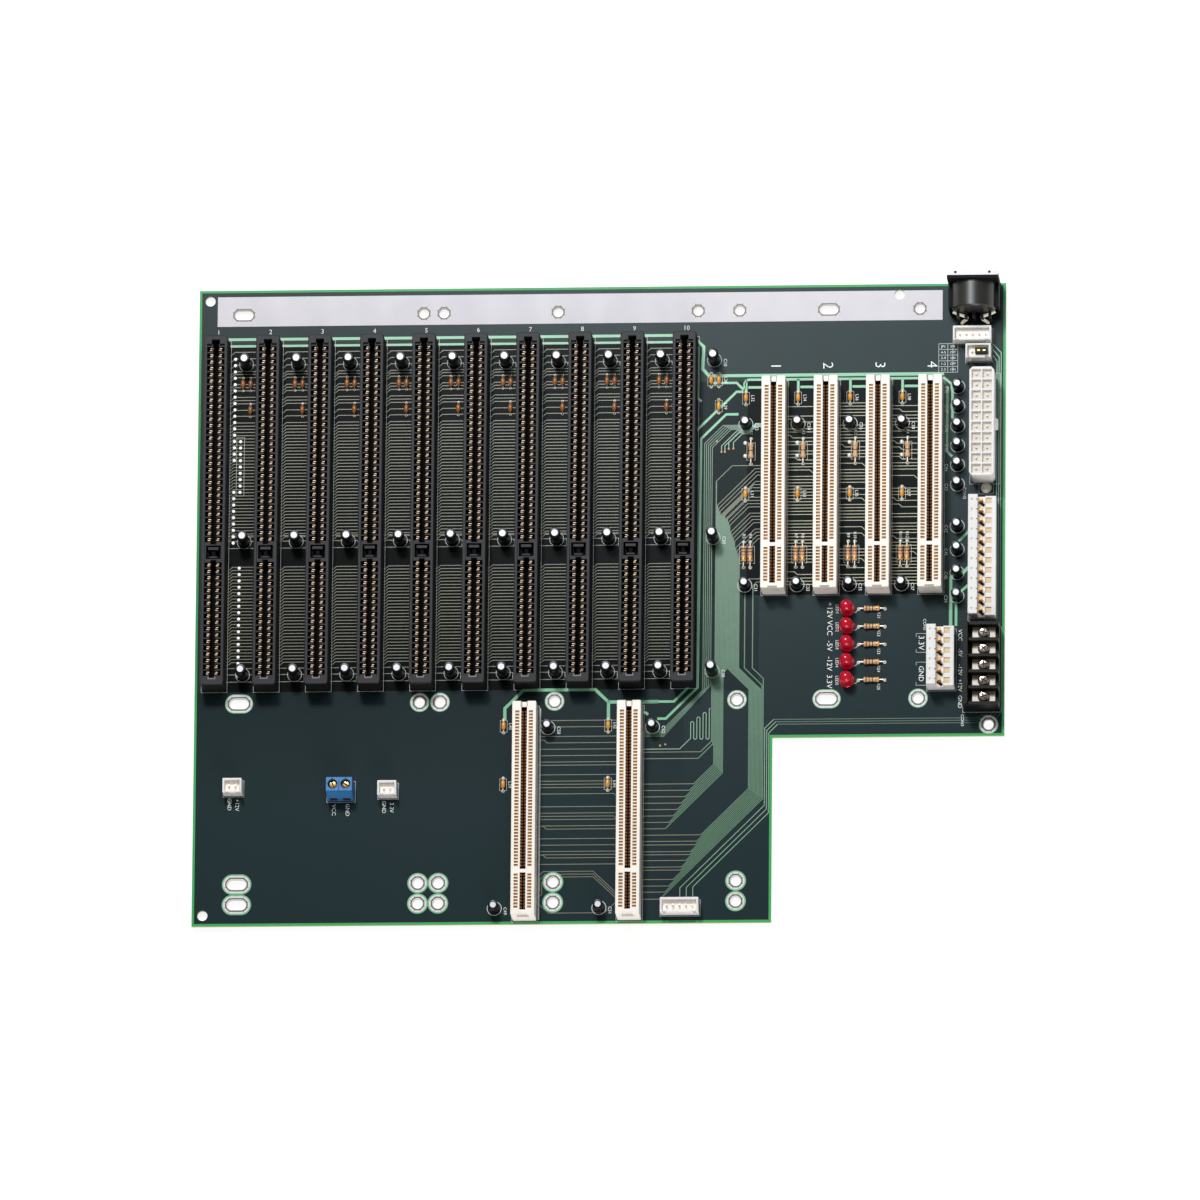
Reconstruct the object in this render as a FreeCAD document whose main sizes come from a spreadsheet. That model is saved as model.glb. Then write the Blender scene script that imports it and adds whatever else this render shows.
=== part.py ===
import FreeCAD, Part
import Sketcher
import math
import os

os.makedirs("parts", exist_ok=True)
doc = FreeCAD.newDocument("passive_backplane")

# Driving sizes in millimetres. The board grows out of its rows of card slots:
# its width and depth are the slots' runs plus the margins round them.
sizes = {
    # Board and rows of slots
    "board_thickness": 1.6,
    "slot_spacing": 20.32,
    "left_margin": 7.6,
    "bus_gap": 34.82,
    "right_margin": 28.74,
    "lower_margin": 1.2,
    "host_gap": 7.36,
    "upper_margin": 20.7,
    "notch_width": 90,
    "notch_rise": 20.1,
    "pin_clearance": 0.05,
    # Mounting holes
    "hole_radius": 2,
    "oblong_length": 7.4,
    "upper_row_inset": 9.9,
    "middle_row_drop": 5,
    "bottom_row_height": 8.4,
    "second_row_height": 16.5,
    "oblong_column": 17.4,
    "pair_column": 87.8,
    "pair_spread": 7.9,
    "host_column": 140.3,
    "lone_column": 195,
    "main_column": 211.2,
    "right_oblong_inset": 69,
    "right_column_inset": 33.5,
    "corner_hole_inset": 6.1,
    "corner_hole_height": 4.4,
    "tooling_inset": 4.2,
    "tooling_right_inset": 41.5,
    # Long card slots
    "long_width": 9.2,
    "long_length": 139.9,
    "long_height": 11.4,
    "long_corner": 1.1,
    "long_end_wall": 2.9,
    "long_lower_run": 47.2,
    "long_key_run": 6.2,
    "long_upper_run": 80.2,
    "long_card_gap": 1.8,
    "long_card_depth": 7.6,
    "long_mouth_width": 6.9,
    "long_mouth_depth": 1.1,
    # Short card slots
    "short_width": 9.3,
    "short_length": 84.84,
    "short_height": 11.4,
    "short_corner": 0.5,
    "short_end_wall": 2,
    "short_lower_run": 14.3,
    "short_key_run": 2.2,
    "short_upper_run": 62.6,
    "short_card_gap": 1.7,
    "short_card_depth": 8,
    "short_mouth_width": 3,
    "short_mouth_depth": 0.7,
    "notch_mouth": 3.6,
    "notch_depth": 2.6,
    "end_recess_top": 4.8,
    "end_recess_foot": 3.2,
    "end_recess_height": 5.2,
    "end_recess_depth": 0.9,
    "local_drop": 18.26,
    "host_offset": -0.1,
    # Electrolytic cans
    "can_sides": 10,
    "bus_can_radius": 2.5,
    "bus_can_height": 11,
    "small_can_radius": 2,
    "small_can_height": 7,
    "can_offset": 0.84,
    "can_upper_drop": 9.1,
    "can_middle_rise": 59.7,
    "can_lower_rise": 6.5,
    "local_can_reach": 11.4,
    "local_can_upper_drop": 16.7,
    "local_can_lower_rise": 3.7,
    "supply_can_inset": 18.6,
    "supply_can_drop": 41.5,
    "supply_can_spacing": 7.8,
    "outlet_can_drop": 97.2,
    "outlet_can_spacing": 9.3,
    "host_can_reach": 8.4,
    "host_can_far_reach": 11.8,
    "host_can_upper_drop": 8.2,
    "host_can_lower_height": 6.2,
    # Ceramic beads and resistors lying on the board
    "bead_across": 1.7,
    "bead_length": 3.6,
    "bead_offset": 0.36,
    "bead_spread": 3,
    "bead_upper_drop": 17.1,
    "bead_lower_drop": 27.6,
    "local_bead_upper_drop": 6.3,
    "local_bead_lower_drop": 44.7,
    "host_bead_reach": 8.8,
    "host_bead_upper_drop": 7.5,
    "host_bead_lower_drop": 30.7,
    "resistor_across": 2.2,
    "resistor_length": 6.2,
    "resistor_reach": 9.3,
    "resistor_spread": 2.6,
    "resistor_upper_drop": 27.6,
    "resistor_lower_rise": 15.9,
    # Indicator lamps
    "lamp_reach": 8.2,
    "lamp_drop": 6.1,
    "lamp_spacing": 7.1,
    "lamp_radius": 2.5,
    "lamp_flange": 2.9,
    "lamp_flange_height": 1,
    "lamp_barrel": 7.2,
    "lamp_bevel": 1.5,
    "lamp_resistor_reach": 9.6,
    # Keyboard socket
    "socket_inset": 12,
    "socket_width": 19.9,
    "socket_height": 20,
    "socket_flange": 2.4,
    "socket_barrel_radius": 8,
    "socket_barrel_centre": 10,
    "socket_barrel_length": 10.4,
    "socket_foot_width": 18.4,
    "socket_foot_height": 6,
    "socket_mouth_radius": 6.9,
    "socket_mouth_depth": 8,
    "shield_thickness": 0.5,
    "socket_contact_width": 1.2,
    "socket_contact_thickness": 0.5,
    "socket_contact_height": 8.5,
    "socket_contact_reach": 2.4,
    "socket_contact_spacing": 3.1,
    # Shrouded headers
    "shroud_depth": 5.75,
    "shroud_height": 7,
    "shroud_wall": 0.8,
    "shroud_floor": 1.6,
    "shroud_end": 2.45,
    "shroud_spacing": 2.5,
    "shroud_notch": 1.1,
    "shroud_notch_depth": 4.2,
    "pin_thickness": 0.64,
    "pin_height": 4.8,
    "keyboard_header_inset": 12.8,
    "keyboard_header_drop": 21.5,
    "switch_header_inset": 10.4,
    "switch_header_drop": 28.6,
    "fan_header_across": 15.7,
    "fan_header_height": 54.5,
    "feed_header_across": 75.9,
    "feed_header_height": 53.1,
    "panel_header_reach": 19.74,
    "panel_header_height": 5.8,
    "jumper_length": 4.9,
    "jumper_width": 2.3,
    "jumper_height": 5.6,
    # Twenty way power socket
    "supply_inset": 8.6,
    "supply_drop": 58.3,
    "supply_width": 9.6,
    "supply_length": 43.4,
    "supply_height": 13,
    "supply_corner": 1.2,
    "supply_spacing": 4.2,
    "supply_cell": 3.5,
    "supply_cell_depth": 10,
    "latch_width": 4.4,
    "latch_reach": 1.3,
    "latch_foot": 6.2,
    "latch_rise": 3.4,
    # Twelve and six way power headers
    "blade_spacing": 3.96,
    "blade_width": 10.6,
    "blade_base": 3.4,
    "blade_lock_wall": 3.7,
    "blade_lock_height": 11,
    "blade_guard_wall": 4.2,
    "blade_guard_height": 7.6,
    "blade_pin": 1.14,
    "blade_pin_height": 7.2,
    "outlet_inset": 8.5,
    "outlet_drop": 110.8,
    "spare_inset": 24.5,
    "spare_drop": 150.5,
    # Barrier terminal block
    "barrier_inset": 8.7,
    "barrier_gap": 3.46,
    "barrier_width": 14,
    "barrier_spacing": 6.35,
    "barrier_wall": 1.2,
    "barrier_base": 6.6,
    "barrier_height": 13,
    "barrier_back": 2.2,
    "barrier_fin_drop": 1.2,
    "plate_length": 9,
    "plate_thickness": 1,
    "plate_clearance": 0.15,
    "screw_radius": 2.1,
    "screw_height": 2,
    # Two way wire terminal
    "wire_across": 57.6,
    "wire_height_on_board": 53,
    "wire_spacing": 5.08,
    "wire_depth": 7.4,
    "wire_height": 10,
    "wire_front_height": 5.6,
    "wire_top_depth": 5.4,
    "wire_well_radius": 1.9,
    "wire_well_depth": 3,
    "wire_screw_radius": 1.7,
    "wire_screw_height": 1.6,
    "wire_entry_width": 3,
    "wire_entry_height": 3.2,
    "wire_entry_foot": 1,
    "wire_entry_depth": 4,
}

sheet = doc.addObject("Spreadsheet::Sheet", "Dims")
for row, (alias, size) in enumerate(sizes.items(), start=1):
    sheet.set(f"A{row}", alias)
    sheet.set(f"B{row}", str(size))
    sheet.setAlias(f"B{row}", alias)
doc.recompute()

long_slots = 10
local_slots = 4
host_places = (6, 8)

board_width = "(Dims.left_margin + 12 * Dims.slot_spacing + Dims.bus_gap + Dims.right_margin)"
long_foot = "(Dims.lower_margin + Dims.short_length + Dims.host_gap)"
long_head = f"({long_foot} + Dims.long_length)"
board_depth = f"({long_head} + Dims.upper_margin)"
local_head = f"({long_head} - Dims.local_drop)"
local_foot = f"({local_head} - Dims.short_length)"
notch_edge = f"({long_foot} - Dims.notch_rise)"
host_head = "(Dims.lower_margin + Dims.short_length)"
nodes = []


def long_x(place):
    return f"(Dims.left_margin + {place} * Dims.slot_spacing)"


def local_x(place):
    return f"({long_x(long_slots - 1 + place)} + Dims.bus_gap)"


def host_x(place):
    return f"({long_x(place)} + Dims.host_offset)"


def from_right(inset):
    return f"({board_width} - Dims.{inset})"


def from_top(drop):
    return f"({board_depth} - Dims.{drop})"


def value(expression):
    return float(sheet.evalExpression(expression))


# Places are measured from the board's lower left corner; the frame's origin is under the board's centre.
def place(thing, x, y, z="Dims.board_thickness"):
    thing.setExpression("Placement.Base.x", f"{x} - {board_width} / 2")
    thing.setExpression("Placement.Base.y", f"{y} - {board_depth} / 2")
    thing.setExpression("Placement.Base.z", z)


def start_body(label):
    body = doc.addObject("PartDesign::Body", label)
    body.Label = label
    return body


def start_node(label):
    body = start_body(label)
    nodes.append(body)
    return body


def draw(body, name, plane="XY_Plane", lift="0"):
    sketch = body.newObject("Sketcher::SketchObject", f"{body.Label}_{name}")
    support = next(feature for feature in body.Origin.OriginFeatures if feature.Role == plane)
    sketch.AttachmentSupport = [(support, "")]
    sketch.MapMode = "FlatFace"
    sketch.setExpression("AttachmentOffset.Base.z", lift)
    return sketch


def pin_point(sketch, geometry, point, x, y):
    for kind, expression in (("DistanceX", x), ("DistanceY", y)):
        fixed = Sketcher.Constraint(kind, -1, 1, geometry, point, value(expression))
        index = sketch.addConstraint(fixed)
        sketch.setExpression(f"Constraints[{index}]", expression)


def set_radius(sketch, geometry, radius):
    index = sketch.addConstraint(Sketcher.Constraint("Radius", geometry, value(radius)))
    sketch.setExpression(f"Constraints[{index}]", radius)


def polygon(sketch, corners):
    points = [FreeCAD.Vector(value(x), value(y), 0) for x, y in corners]
    count = len(points)
    lines = [
        sketch.addGeometry(Part.LineSegment(points[i], points[(i + 1) % count]), False)
        for i in range(count)
    ]
    for i in range(count):
        joined = Sketcher.Constraint("Coincident", lines[i], 2, lines[(i + 1) % count], 1)
        sketch.addConstraint(joined)
    for line, (x, y) in zip(lines, corners):
        pin_point(sketch, line, 1, x, y)


def rectangle(sketch, left, low, width, height):
    right = f"{left} + {width}"
    top = f"{low} + {height}"
    polygon(sketch, [(left, low), (right, low), (right, top), (left, top)])


def chamfered(sketch, width, length, corner):
    half = f"{width} / 2"
    polygon(sketch, [
        (f"-({half}) + {corner}", "0"),
        (f"{half} - {corner}", "0"),
        (half, corner),
        (half, f"{length} - {corner}"),
        (f"{half} - {corner}", length),
        (f"-({half}) + {corner}", length),
        (f"-({half})", f"{length} - {corner}"),
        (f"-({half})", corner),
    ])


def circle(sketch, x, y, radius):
    centre = FreeCAD.Vector(value(x), value(y), 0)
    ring = sketch.addGeometry(Part.Circle(centre, FreeCAD.Vector(0, 0, 1), value(radius)), False)
    set_radius(sketch, ring, radius)
    pin_point(sketch, ring, 3, x, y)


def oblong(sketch, x, y, length, radius):
    reach = f"({length} / 2 - {radius})"
    size = value(radius)
    near = FreeCAD.Vector(value(f"{x} - {reach}"), value(y), 0)
    far = FreeCAD.Vector(value(f"{x} + {reach}"), value(y), 0)
    up = FreeCAD.Vector(0, size, 0)
    quarter = math.pi / 2
    normal = FreeCAD.Vector(0, 0, 1)
    left = Part.ArcOfCircle(Part.Circle(near, normal, size), quarter, 3 * quarter)
    right = Part.ArcOfCircle(Part.Circle(far, normal, size), -quarter, quarter)
    ring = [
        sketch.addGeometry(left, False),
        sketch.addGeometry(Part.LineSegment(near - up, far - up), False),
        sketch.addGeometry(right, False),
        sketch.addGeometry(Part.LineSegment(far + up, near + up), False),
    ]
    for i in range(4):
        sketch.addConstraint(Sketcher.Constraint("Tangent", ring[i], 2, ring[(i + 1) % 4], 1))
    sketch.addConstraint(Sketcher.Constraint("Equal", ring[0], ring[2]))
    set_radius(sketch, ring[0], radius)
    pin_point(sketch, ring[0], 3, f"{x} - {reach}", y)
    pin_point(sketch, ring[2], 3, f"{x} + {reach}", y)


def finish(body, feature, sketch, length):
    feature.Profile = sketch
    feature.setExpression("Length", length)
    sketch.Visibility = False
    body.Tip = feature
    return feature


def pad(body, sketch, length):
    return finish(body, body.newObject("PartDesign::Pad", f"{sketch.Name}_pad"), sketch, length)


def pocket(body, sketch, depth):
    return finish(body, body.newObject("PartDesign::Pocket", f"{sketch.Name}_cut"), sketch, depth)


def repeat(body, feature, sketch, span, count):
    row = body.newObject("PartDesign::LinearPattern", f"{feature.Name}_row")
    row.Originals = [feature]
    row.Direction = (sketch, ["V_Axis"])
    row.setExpression("Length", span)
    row.Occurrences = count
    body.Tip = row
    return row


def group(label, members):
    node = doc.addObject("Part::Compound", label)
    node.Label = label
    node.Links = members
    nodes.append(node)
    return node


def box(name, x, y, z, width, depth, height):
    block = doc.addObject("Part::Box", name)
    block.setExpression("Length", width)
    block.setExpression("Width", depth)
    block.setExpression("Height", height)
    place(block, f"{x} - {width} / 2", f"{y} - {depth} / 2", z)
    return block


def can(name, x, y, z, radius, height):
    solid = doc.addObject("Part::Prism", name)
    solid.setExpression("Polygon", "Dims.can_sides")
    solid.setExpression("Circumradius", radius)
    solid.setExpression("Height", height)
    place(solid, x, y, z)
    return solid


# A six sided barrel lying on the board on one of its flats, along the board or across it.
def barrel(name, x, y, across, length, lengthwise=True):
    solid = doc.addObject("Part::Prism", name)
    solid.Polygon = 6
    solid.setExpression("Circumradius", f"{across} / 2 / cos(30 deg)")
    solid.setExpression("Height", length)
    lying = FreeCAD.Rotation(FreeCAD.Vector(1, 0, 0), -90)
    turned = FreeCAD.Rotation(FreeCAD.Vector(0, 0, 1), -90)
    rotation = lying if lengthwise else turned.multiply(lying)
    solid.Placement = FreeCAD.Placement(FreeCAD.Vector(0, 0, 0), rotation)
    rest = f"Dims.board_thickness + {across} / 2"
    if lengthwise:
        place(solid, x, f"{y} - {length} / 2", rest)
    else:
        place(solid, f"{x} - {length} / 2", y, rest)
    return solid


# Bare board, with its notched outline and its round and oblong mounting holes.
board = start_node("circuit_board")
outline = draw(board, "outline")
shoulder = f"{board_width} - Dims.notch_width"
polygon(outline, [
    ("0", "0"),
    (shoulder, "0"),
    (shoulder, notch_edge),
    (board_width, notch_edge),
    (board_width, board_depth),
    ("0", board_depth),
])
pad(board, outline, "Dims.board_thickness")

upper_row = from_top("upper_row_inset")
middle_row = f"({long_foot} - Dims.middle_row_drop)"
pair_columns = ("Dims.pair_column", "Dims.pair_column + Dims.pair_spread")
low_rows = ("Dims.bottom_row_height", "Dims.second_row_height")
holes = draw(board, "holes", lift="Dims.board_thickness")
for column in (*pair_columns, "Dims.host_column", "Dims.main_column"):
    for height in (upper_row, middle_row, *low_rows):
        circle(holes, column, height, "Dims.hole_radius")
circle(holes, "Dims.lone_column", upper_row, "Dims.hole_radius")
for height in (upper_row, middle_row):
    circle(holes, from_right("right_column_inset"), height, "Dims.hole_radius")
circle(
    holes, from_right("corner_hole_inset"), f"{notch_edge} + Dims.corner_hole_height", "Dims.hole_radius"
)
for across, height in (
    ("Dims.tooling_inset", from_top("tooling_inset")),
    (from_right("tooling_right_inset"), from_top("tooling_inset")),
    ("Dims.tooling_inset", "Dims.tooling_inset"),
):
    circle(holes, across, height, "Dims.hole_radius")
pocket(board, holes, "Dims.board_thickness")

oblongs = draw(board, "oblongs", lift="Dims.board_thickness")
for height in (upper_row, middle_row, *low_rows):
    oblong(oblongs, "Dims.oblong_column", height, "Dims.oblong_length", "Dims.hole_radius")
for height in (upper_row, middle_row):
    oblong(oblongs, from_right("right_oblong_inset"), height, "Dims.oblong_length", "Dims.hole_radius")
pocket(board, oblongs, "Dims.board_thickness")
place(board, "0", "0", "0")


# Card slot housing: a moulded bar with two card gaps either side of a key, and a wider mouth over each.
def card_slot(label, kind, x, foot):
    body = start_node(label)
    shell = draw(body, "shell")
    chamfered(shell, f"Dims.{kind}_width", f"Dims.{kind}_length", f"Dims.{kind}_corner")
    pad(body, shell, f"Dims.{kind}_height")
    lower = f"Dims.{kind}_end_wall"
    key = f"({lower} + Dims.{kind}_lower_run)"
    upper = f"({key} + Dims.{kind}_key_run)"
    mouth = draw(body, "mouth", lift=f"Dims.{kind}_height")
    width = f"Dims.{kind}_mouth_width"
    span = f"Dims.{kind}_lower_run + Dims.{kind}_key_run + Dims.{kind}_upper_run"
    rectangle(mouth, f"-{width} / 2", lower, width, span)
    pocket(body, mouth, f"Dims.{kind}_mouth_depth")
    cards = draw(body, "cards", lift=f"Dims.{kind}_height - Dims.{kind}_mouth_depth")
    gap = f"Dims.{kind}_card_gap"
    rectangle(cards, f"-{gap} / 2", lower, gap, f"Dims.{kind}_lower_run")
    rectangle(cards, f"-{gap} / 2", upper, gap, f"Dims.{kind}_upper_run")
    pocket(body, cards, f"Dims.{kind}_card_depth")
    place(body, x, foot)
    return body, upper


def short_slot(label, x, foot):
    body, upper = card_slot(label, "short", x, foot)
    notch = draw(body, "notch", lift="Dims.short_height")
    inner = f"{upper} + Dims.short_upper_run"
    polygon(notch, [
        ("-Dims.short_card_gap / 2", inner),
        ("Dims.short_card_gap / 2", inner),
        ("Dims.notch_mouth / 2", "Dims.short_length"),
        ("-Dims.notch_mouth / 2", "Dims.short_length"),
    ])
    pocket(body, notch, "Dims.notch_depth")
    recess = draw(body, "recess", "XZ_Plane")
    low = "Dims.short_height - Dims.end_recess_height"
    polygon(recess, [
        ("-Dims.end_recess_foot / 2", low),
        ("Dims.end_recess_foot / 2", low),
        ("Dims.end_recess_top / 2", "Dims.short_height"),
        ("-Dims.end_recess_top / 2", "Dims.short_height"),
    ])
    pocket(body, recess, "Dims.end_recess_depth")


for i in range(long_slots):
    card_slot(f"isa_slot_{i + 1:02d}", "long", long_x(i), long_foot)
for i in range(local_slots):
    short_slot(f"pci_slot_{i + 1}", local_x(i), local_foot)
for i, column in enumerate(host_places):
    short_slot(f"host_slot_{i + 1}", host_x(column), "Dims.lower_margin")


# Electrolytic cans, one in each row beside every slot.
def can_row(label, places, size="small_can"):
    members = [
        can(f"{label}_{i + 1}", x, y, "Dims.board_thickness", f"Dims.{size}_radius", f"Dims.{size}_height")
        for i, (x, y) in enumerate(places)
    ]
    group(label, members)


between = [f"({long_x(i + 0.5)} + Dims.can_offset)" for i in range(long_slots)]
can_row("bus_cans_upper", [(x, f"{long_head} - Dims.can_upper_drop") for x in between], "bus_can")
can_row("bus_cans_middle", [(x, f"{long_foot} + Dims.can_middle_rise") for x in between], "bus_can")
can_row("bus_cans_lower", [(x, f"{long_foot} + Dims.can_lower_rise") for x in between], "bus_can")

beside = [f"({local_x(i)} - Dims.local_can_reach)" for i in range(local_slots)]
upper_cans = [(x, f"{local_head} - Dims.local_can_upper_drop") for x in beside]
lower_cans = [(x, f"{local_foot} + Dims.local_can_lower_rise") for x in beside]
can_row("local_cans", upper_cans + lower_cans)

supply_x = from_right("supply_can_inset")
supply_row = [f"{from_top('supply_can_drop')} - {i} * Dims.supply_can_spacing" for i in range(6)]
outlet_row = [f"{from_top('outlet_can_drop')} - {i} * Dims.outlet_can_spacing" for i in range(4)]
can_row("supply_cans", [(supply_x, y) for y in supply_row + outlet_row])

host_cans = []
for column in host_places:
    host_cans.append((f"{host_x(column)} + Dims.host_can_reach", f"{host_head} - Dims.host_can_upper_drop"))
    host_cans.append((f"{host_x(column)} - Dims.host_can_far_reach", "Dims.host_can_lower_height"))
can_row("host_cans", host_cans)


# Ceramic capacitor beads and resistors.
def bead_row(label, places):
    members = [
        box(f"{label}_{i + 1}", x, y, "Dims.board_thickness",
            "Dims.bead_across", "Dims.bead_length", "Dims.bead_across")
        for i, (x, y) in enumerate(places)
    ]
    group(label, members)


bus_beads = []
for i in range(long_slots):
    near = f"{long_x(i + 0.5)} - Dims.bead_offset"
    far = f"{near} + Dims.bead_spread"
    bus_beads.append((near, f"{long_head} - Dims.bead_upper_drop"))
    bus_beads.append((far, f"{long_head} - Dims.bead_upper_drop"))
    bus_beads.append((far, f"{long_head} - Dims.bead_lower_drop"))
bead_row("bus_beads", bus_beads)

local_beads = []
for x in beside:
    local_beads.append((x, f"{local_head} - Dims.local_bead_upper_drop"))
    local_beads.append((x, f"{local_head} - Dims.local_bead_lower_drop"))
bead_row("local_beads", local_beads)

host_beads = []
for column in host_places:
    x = f"{host_x(column)} - Dims.host_bead_reach"
    host_beads.append((x, f"{host_head} - Dims.host_bead_upper_drop"))
    host_beads.append((x, f"{host_head} - Dims.host_bead_lower_drop"))
bead_row("host_beads", host_beads)


def resistor_row(label, places, lengthwise=True):
    members = [
        barrel(f"{label}_{i + 1}", x, y, "Dims.resistor_across", "Dims.resistor_length", lengthwise)
        for i, (x, y) in enumerate(places)
    ]
    group(label, members)


single = [f"{local_x(i)} - Dims.resistor_reach" for i in range(local_slots)]
pairs = [f"{local_x(i)} - Dims.resistor_reach - {j} * Dims.resistor_spread"
         for i in range(local_slots) for j in range(2)]
resistor_row("link_resistors", [(x, f"{local_head} - Dims.resistor_upper_drop") for x in single])
resistor_row("select_resistors", [(x, f"{local_foot} + Dims.resistor_lower_rise") for x in pairs])

# Indicator lamps, each with its resistor.
def disc(sketch, radius, x="0", y="0", sides=10):
    turns = [360 / sides * i for i in range(sides)]
    polygon(sketch, [
        (f"{x} + {radius} * cos({turn} deg)", f"{y} + {radius} * sin({turn} deg)") for turn in turns
    ])


lamp_x = f"({local_x(1)} + Dims.lamp_reach)"
lamp_places = [f"{local_foot} - Dims.lamp_drop - {i} * Dims.lamp_spacing" for i in range(5)]
lamps = []
for i, y in enumerate(lamp_places):
    lamp = start_body(f"indicator_lamp_{i + 1}")
    flange = draw(lamp, "flange")
    disc(flange, "Dims.lamp_flange")
    pad(lamp, flange, "Dims.lamp_flange_height")
    tube = draw(lamp, "barrel", lift="Dims.lamp_flange_height")
    disc(tube, "Dims.lamp_radius")
    barrel_pad = pad(lamp, tube, "Dims.lamp_barrel")
    doc.recompute()
    faces = barrel_pad.Shape.Faces
    crown = max(range(len(faces)), key=lambda face: faces[face].CenterOfMass.z)
    dome = lamp.newObject("PartDesign::Chamfer", f"{lamp.Label}_dome")
    dome.Base = (barrel_pad, [f"Face{crown + 1}"])
    dome.setExpression("Size", "Dims.lamp_bevel")
    lamp.Tip = dome
    place(lamp, lamp_x, y)
    lamps.append(lamp)
group("indicator_lamps", lamps)
lamp_row = [(f"{lamp_x} + Dims.lamp_resistor_reach", y) for y in lamp_places]
resistor_row("lamp_resistors", lamp_row, lengthwise=False)

# Keyboard socket: a moulded body behind a metal shield that stands flush with the board's upper edge.
socket_x = from_right("socket_inset")
socket_low = "-Dims.socket_width / 2"
shield = start_node("keyboard_socket_shield")
sheet_metal = draw(shield, "plate", "XZ_Plane")
rectangle(sheet_metal, socket_low, "0", "Dims.socket_width", "Dims.socket_height")
disc(sheet_metal, "Dims.socket_mouth_radius", y="Dims.socket_barrel_centre", sides=20)
pad(shield, sheet_metal, "Dims.shield_thickness")
place(shield, socket_x, board_depth)

socket = start_node("keyboard_socket_body")
face = draw(socket, "face", "XZ_Plane")
rectangle(face, socket_low, "0", "Dims.socket_width", "Dims.socket_height")
pad(socket, face, "Dims.socket_flange")
foot = draw(socket, "foot", "XZ_Plane", "Dims.socket_flange")
rectangle(foot, "-Dims.socket_foot_width / 2", "0", "Dims.socket_foot_width", "Dims.socket_foot_height")
pad(socket, foot, "Dims.socket_barrel_length")
tube = draw(socket, "tube", "XZ_Plane", "Dims.socket_flange")
disc(tube, "Dims.socket_barrel_radius", y="Dims.socket_barrel_centre", sides=20)
pad(socket, tube, "Dims.socket_barrel_length")
mouth = draw(socket, "mouth", "XZ_Plane")
disc(mouth, "Dims.socket_mouth_radius", y="Dims.socket_barrel_centre", sides=20)
cut = pocket(socket, mouth, "Dims.socket_mouth_depth")
cut.Reversed = True
place(socket, socket_x, f"{board_depth} - Dims.shield_thickness")

socket_back = f"{board_depth} - Dims.shield_thickness - Dims.socket_flange - Dims.socket_barrel_length"
contacts = []
for i in range(5):
    strip = start_body(f"keyboard_contact_{i + 1}")
    side = draw(strip, "side", "YZ_Plane", "-Dims.socket_contact_width / 2")
    drop = "Dims.socket_contact_height - Dims.socket_contact_thickness"
    inner = "-Dims.socket_contact_reach + Dims.socket_contact_thickness"
    polygon(side, [
        ("0", "Dims.socket_contact_height"),
        ("-Dims.socket_contact_reach", "Dims.socket_contact_height"),
        ("-Dims.socket_contact_reach", "0"),
        (inner, "0"),
        (inner, drop),
        ("0", drop),
    ])
    pad(strip, side, "Dims.socket_contact_width")
    place(strip, f"{socket_x} + {i - 2} * Dims.socket_contact_spacing", socket_back)
    contacts.append(strip)
group("keyboard_socket_contacts", contacts)


# Shrouded pin headers: an open topped shell with two slots in its near wall, and square pins on its floor.
def shroud(label, ways, x, y):
    body = start_node(label)
    width = f"(2 * Dims.shroud_end + {ways - 1} * Dims.shroud_spacing)"
    shell = draw(body, "shell")
    rectangle(shell, f"-{width} / 2", "-Dims.shroud_depth / 2", width, "Dims.shroud_depth")
    pad(body, shell, "Dims.shroud_height")
    cavity = draw(body, "cavity", lift="Dims.shroud_height")
    rectangle(
        cavity, f"-{width} / 2 + Dims.shroud_wall", "-Dims.shroud_depth / 2 + Dims.shroud_wall",
        f"{width} - 2 * Dims.shroud_wall", "Dims.shroud_depth - 2 * Dims.shroud_wall",
    )
    pocket(body, cavity, "Dims.shroud_height - Dims.shroud_floor")
    slots = draw(body, "slots", lift="Dims.shroud_height")
    for side in (-1, 1):
        left = f"{side} * ({width} / 2 - 2 * Dims.shroud_wall) - Dims.shroud_notch / 2"
        rectangle(slots, left, "-Dims.shroud_depth / 2", "Dims.shroud_notch", "Dims.shroud_wall")
    pocket(body, slots, "Dims.shroud_notch_depth")
    place(body, x, y)
    floor = "Dims.board_thickness + Dims.shroud_floor"
    pins = [
        box(f"{label}_pin_{i + 1}", f"{x} + {i - (ways - 1) / 2} * Dims.shroud_spacing", y, floor,
            "Dims.pin_thickness", "Dims.pin_thickness", "Dims.pin_height")
        for i in range(ways)
    ]
    group(f"{label}_pins", pins)


switch_x = from_right("switch_header_inset")
switch_y = from_top("switch_header_drop")
shroud("keyboard_header", 5, from_right("keyboard_header_inset"), from_top("keyboard_header_drop"))
shroud("switch_header", 3, switch_x, switch_y)
shroud("fan_header", 2, "Dims.fan_header_across", "Dims.fan_header_height")
shroud("feed_header", 2, "Dims.feed_header_across", "Dims.feed_header_height")
panel_x = f"{host_x(host_places[-1])} + Dims.panel_header_reach"
shroud("panel_header", 5, panel_x, "Dims.panel_header_height")

# Jumper cap over two pins of the switch header, open below round each pin.
jumper = start_node("switch_jumper")
cap = draw(jumper, "cap")
rectangle(cap, "-Dims.jumper_length / 2", "-Dims.jumper_width / 2", "Dims.jumper_length", "Dims.jumper_width")
pad(jumper, cap, "Dims.jumper_height")
bores = draw(jumper, "bores")
bore = "(Dims.pin_thickness + 2 * Dims.pin_clearance)"
for side in (-0.5, 0.5):
    rectangle(bores, f"{side} * Dims.shroud_spacing - {bore} / 2", f"-{bore} / 2", bore, bore)
hollow = pocket(jumper, bores, "Dims.pin_height + Dims.pin_clearance")
hollow.Reversed = True
place(
    jumper, f"{switch_x} + Dims.shroud_spacing / 2", switch_y, "Dims.board_thickness + Dims.shroud_floor"
)

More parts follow.
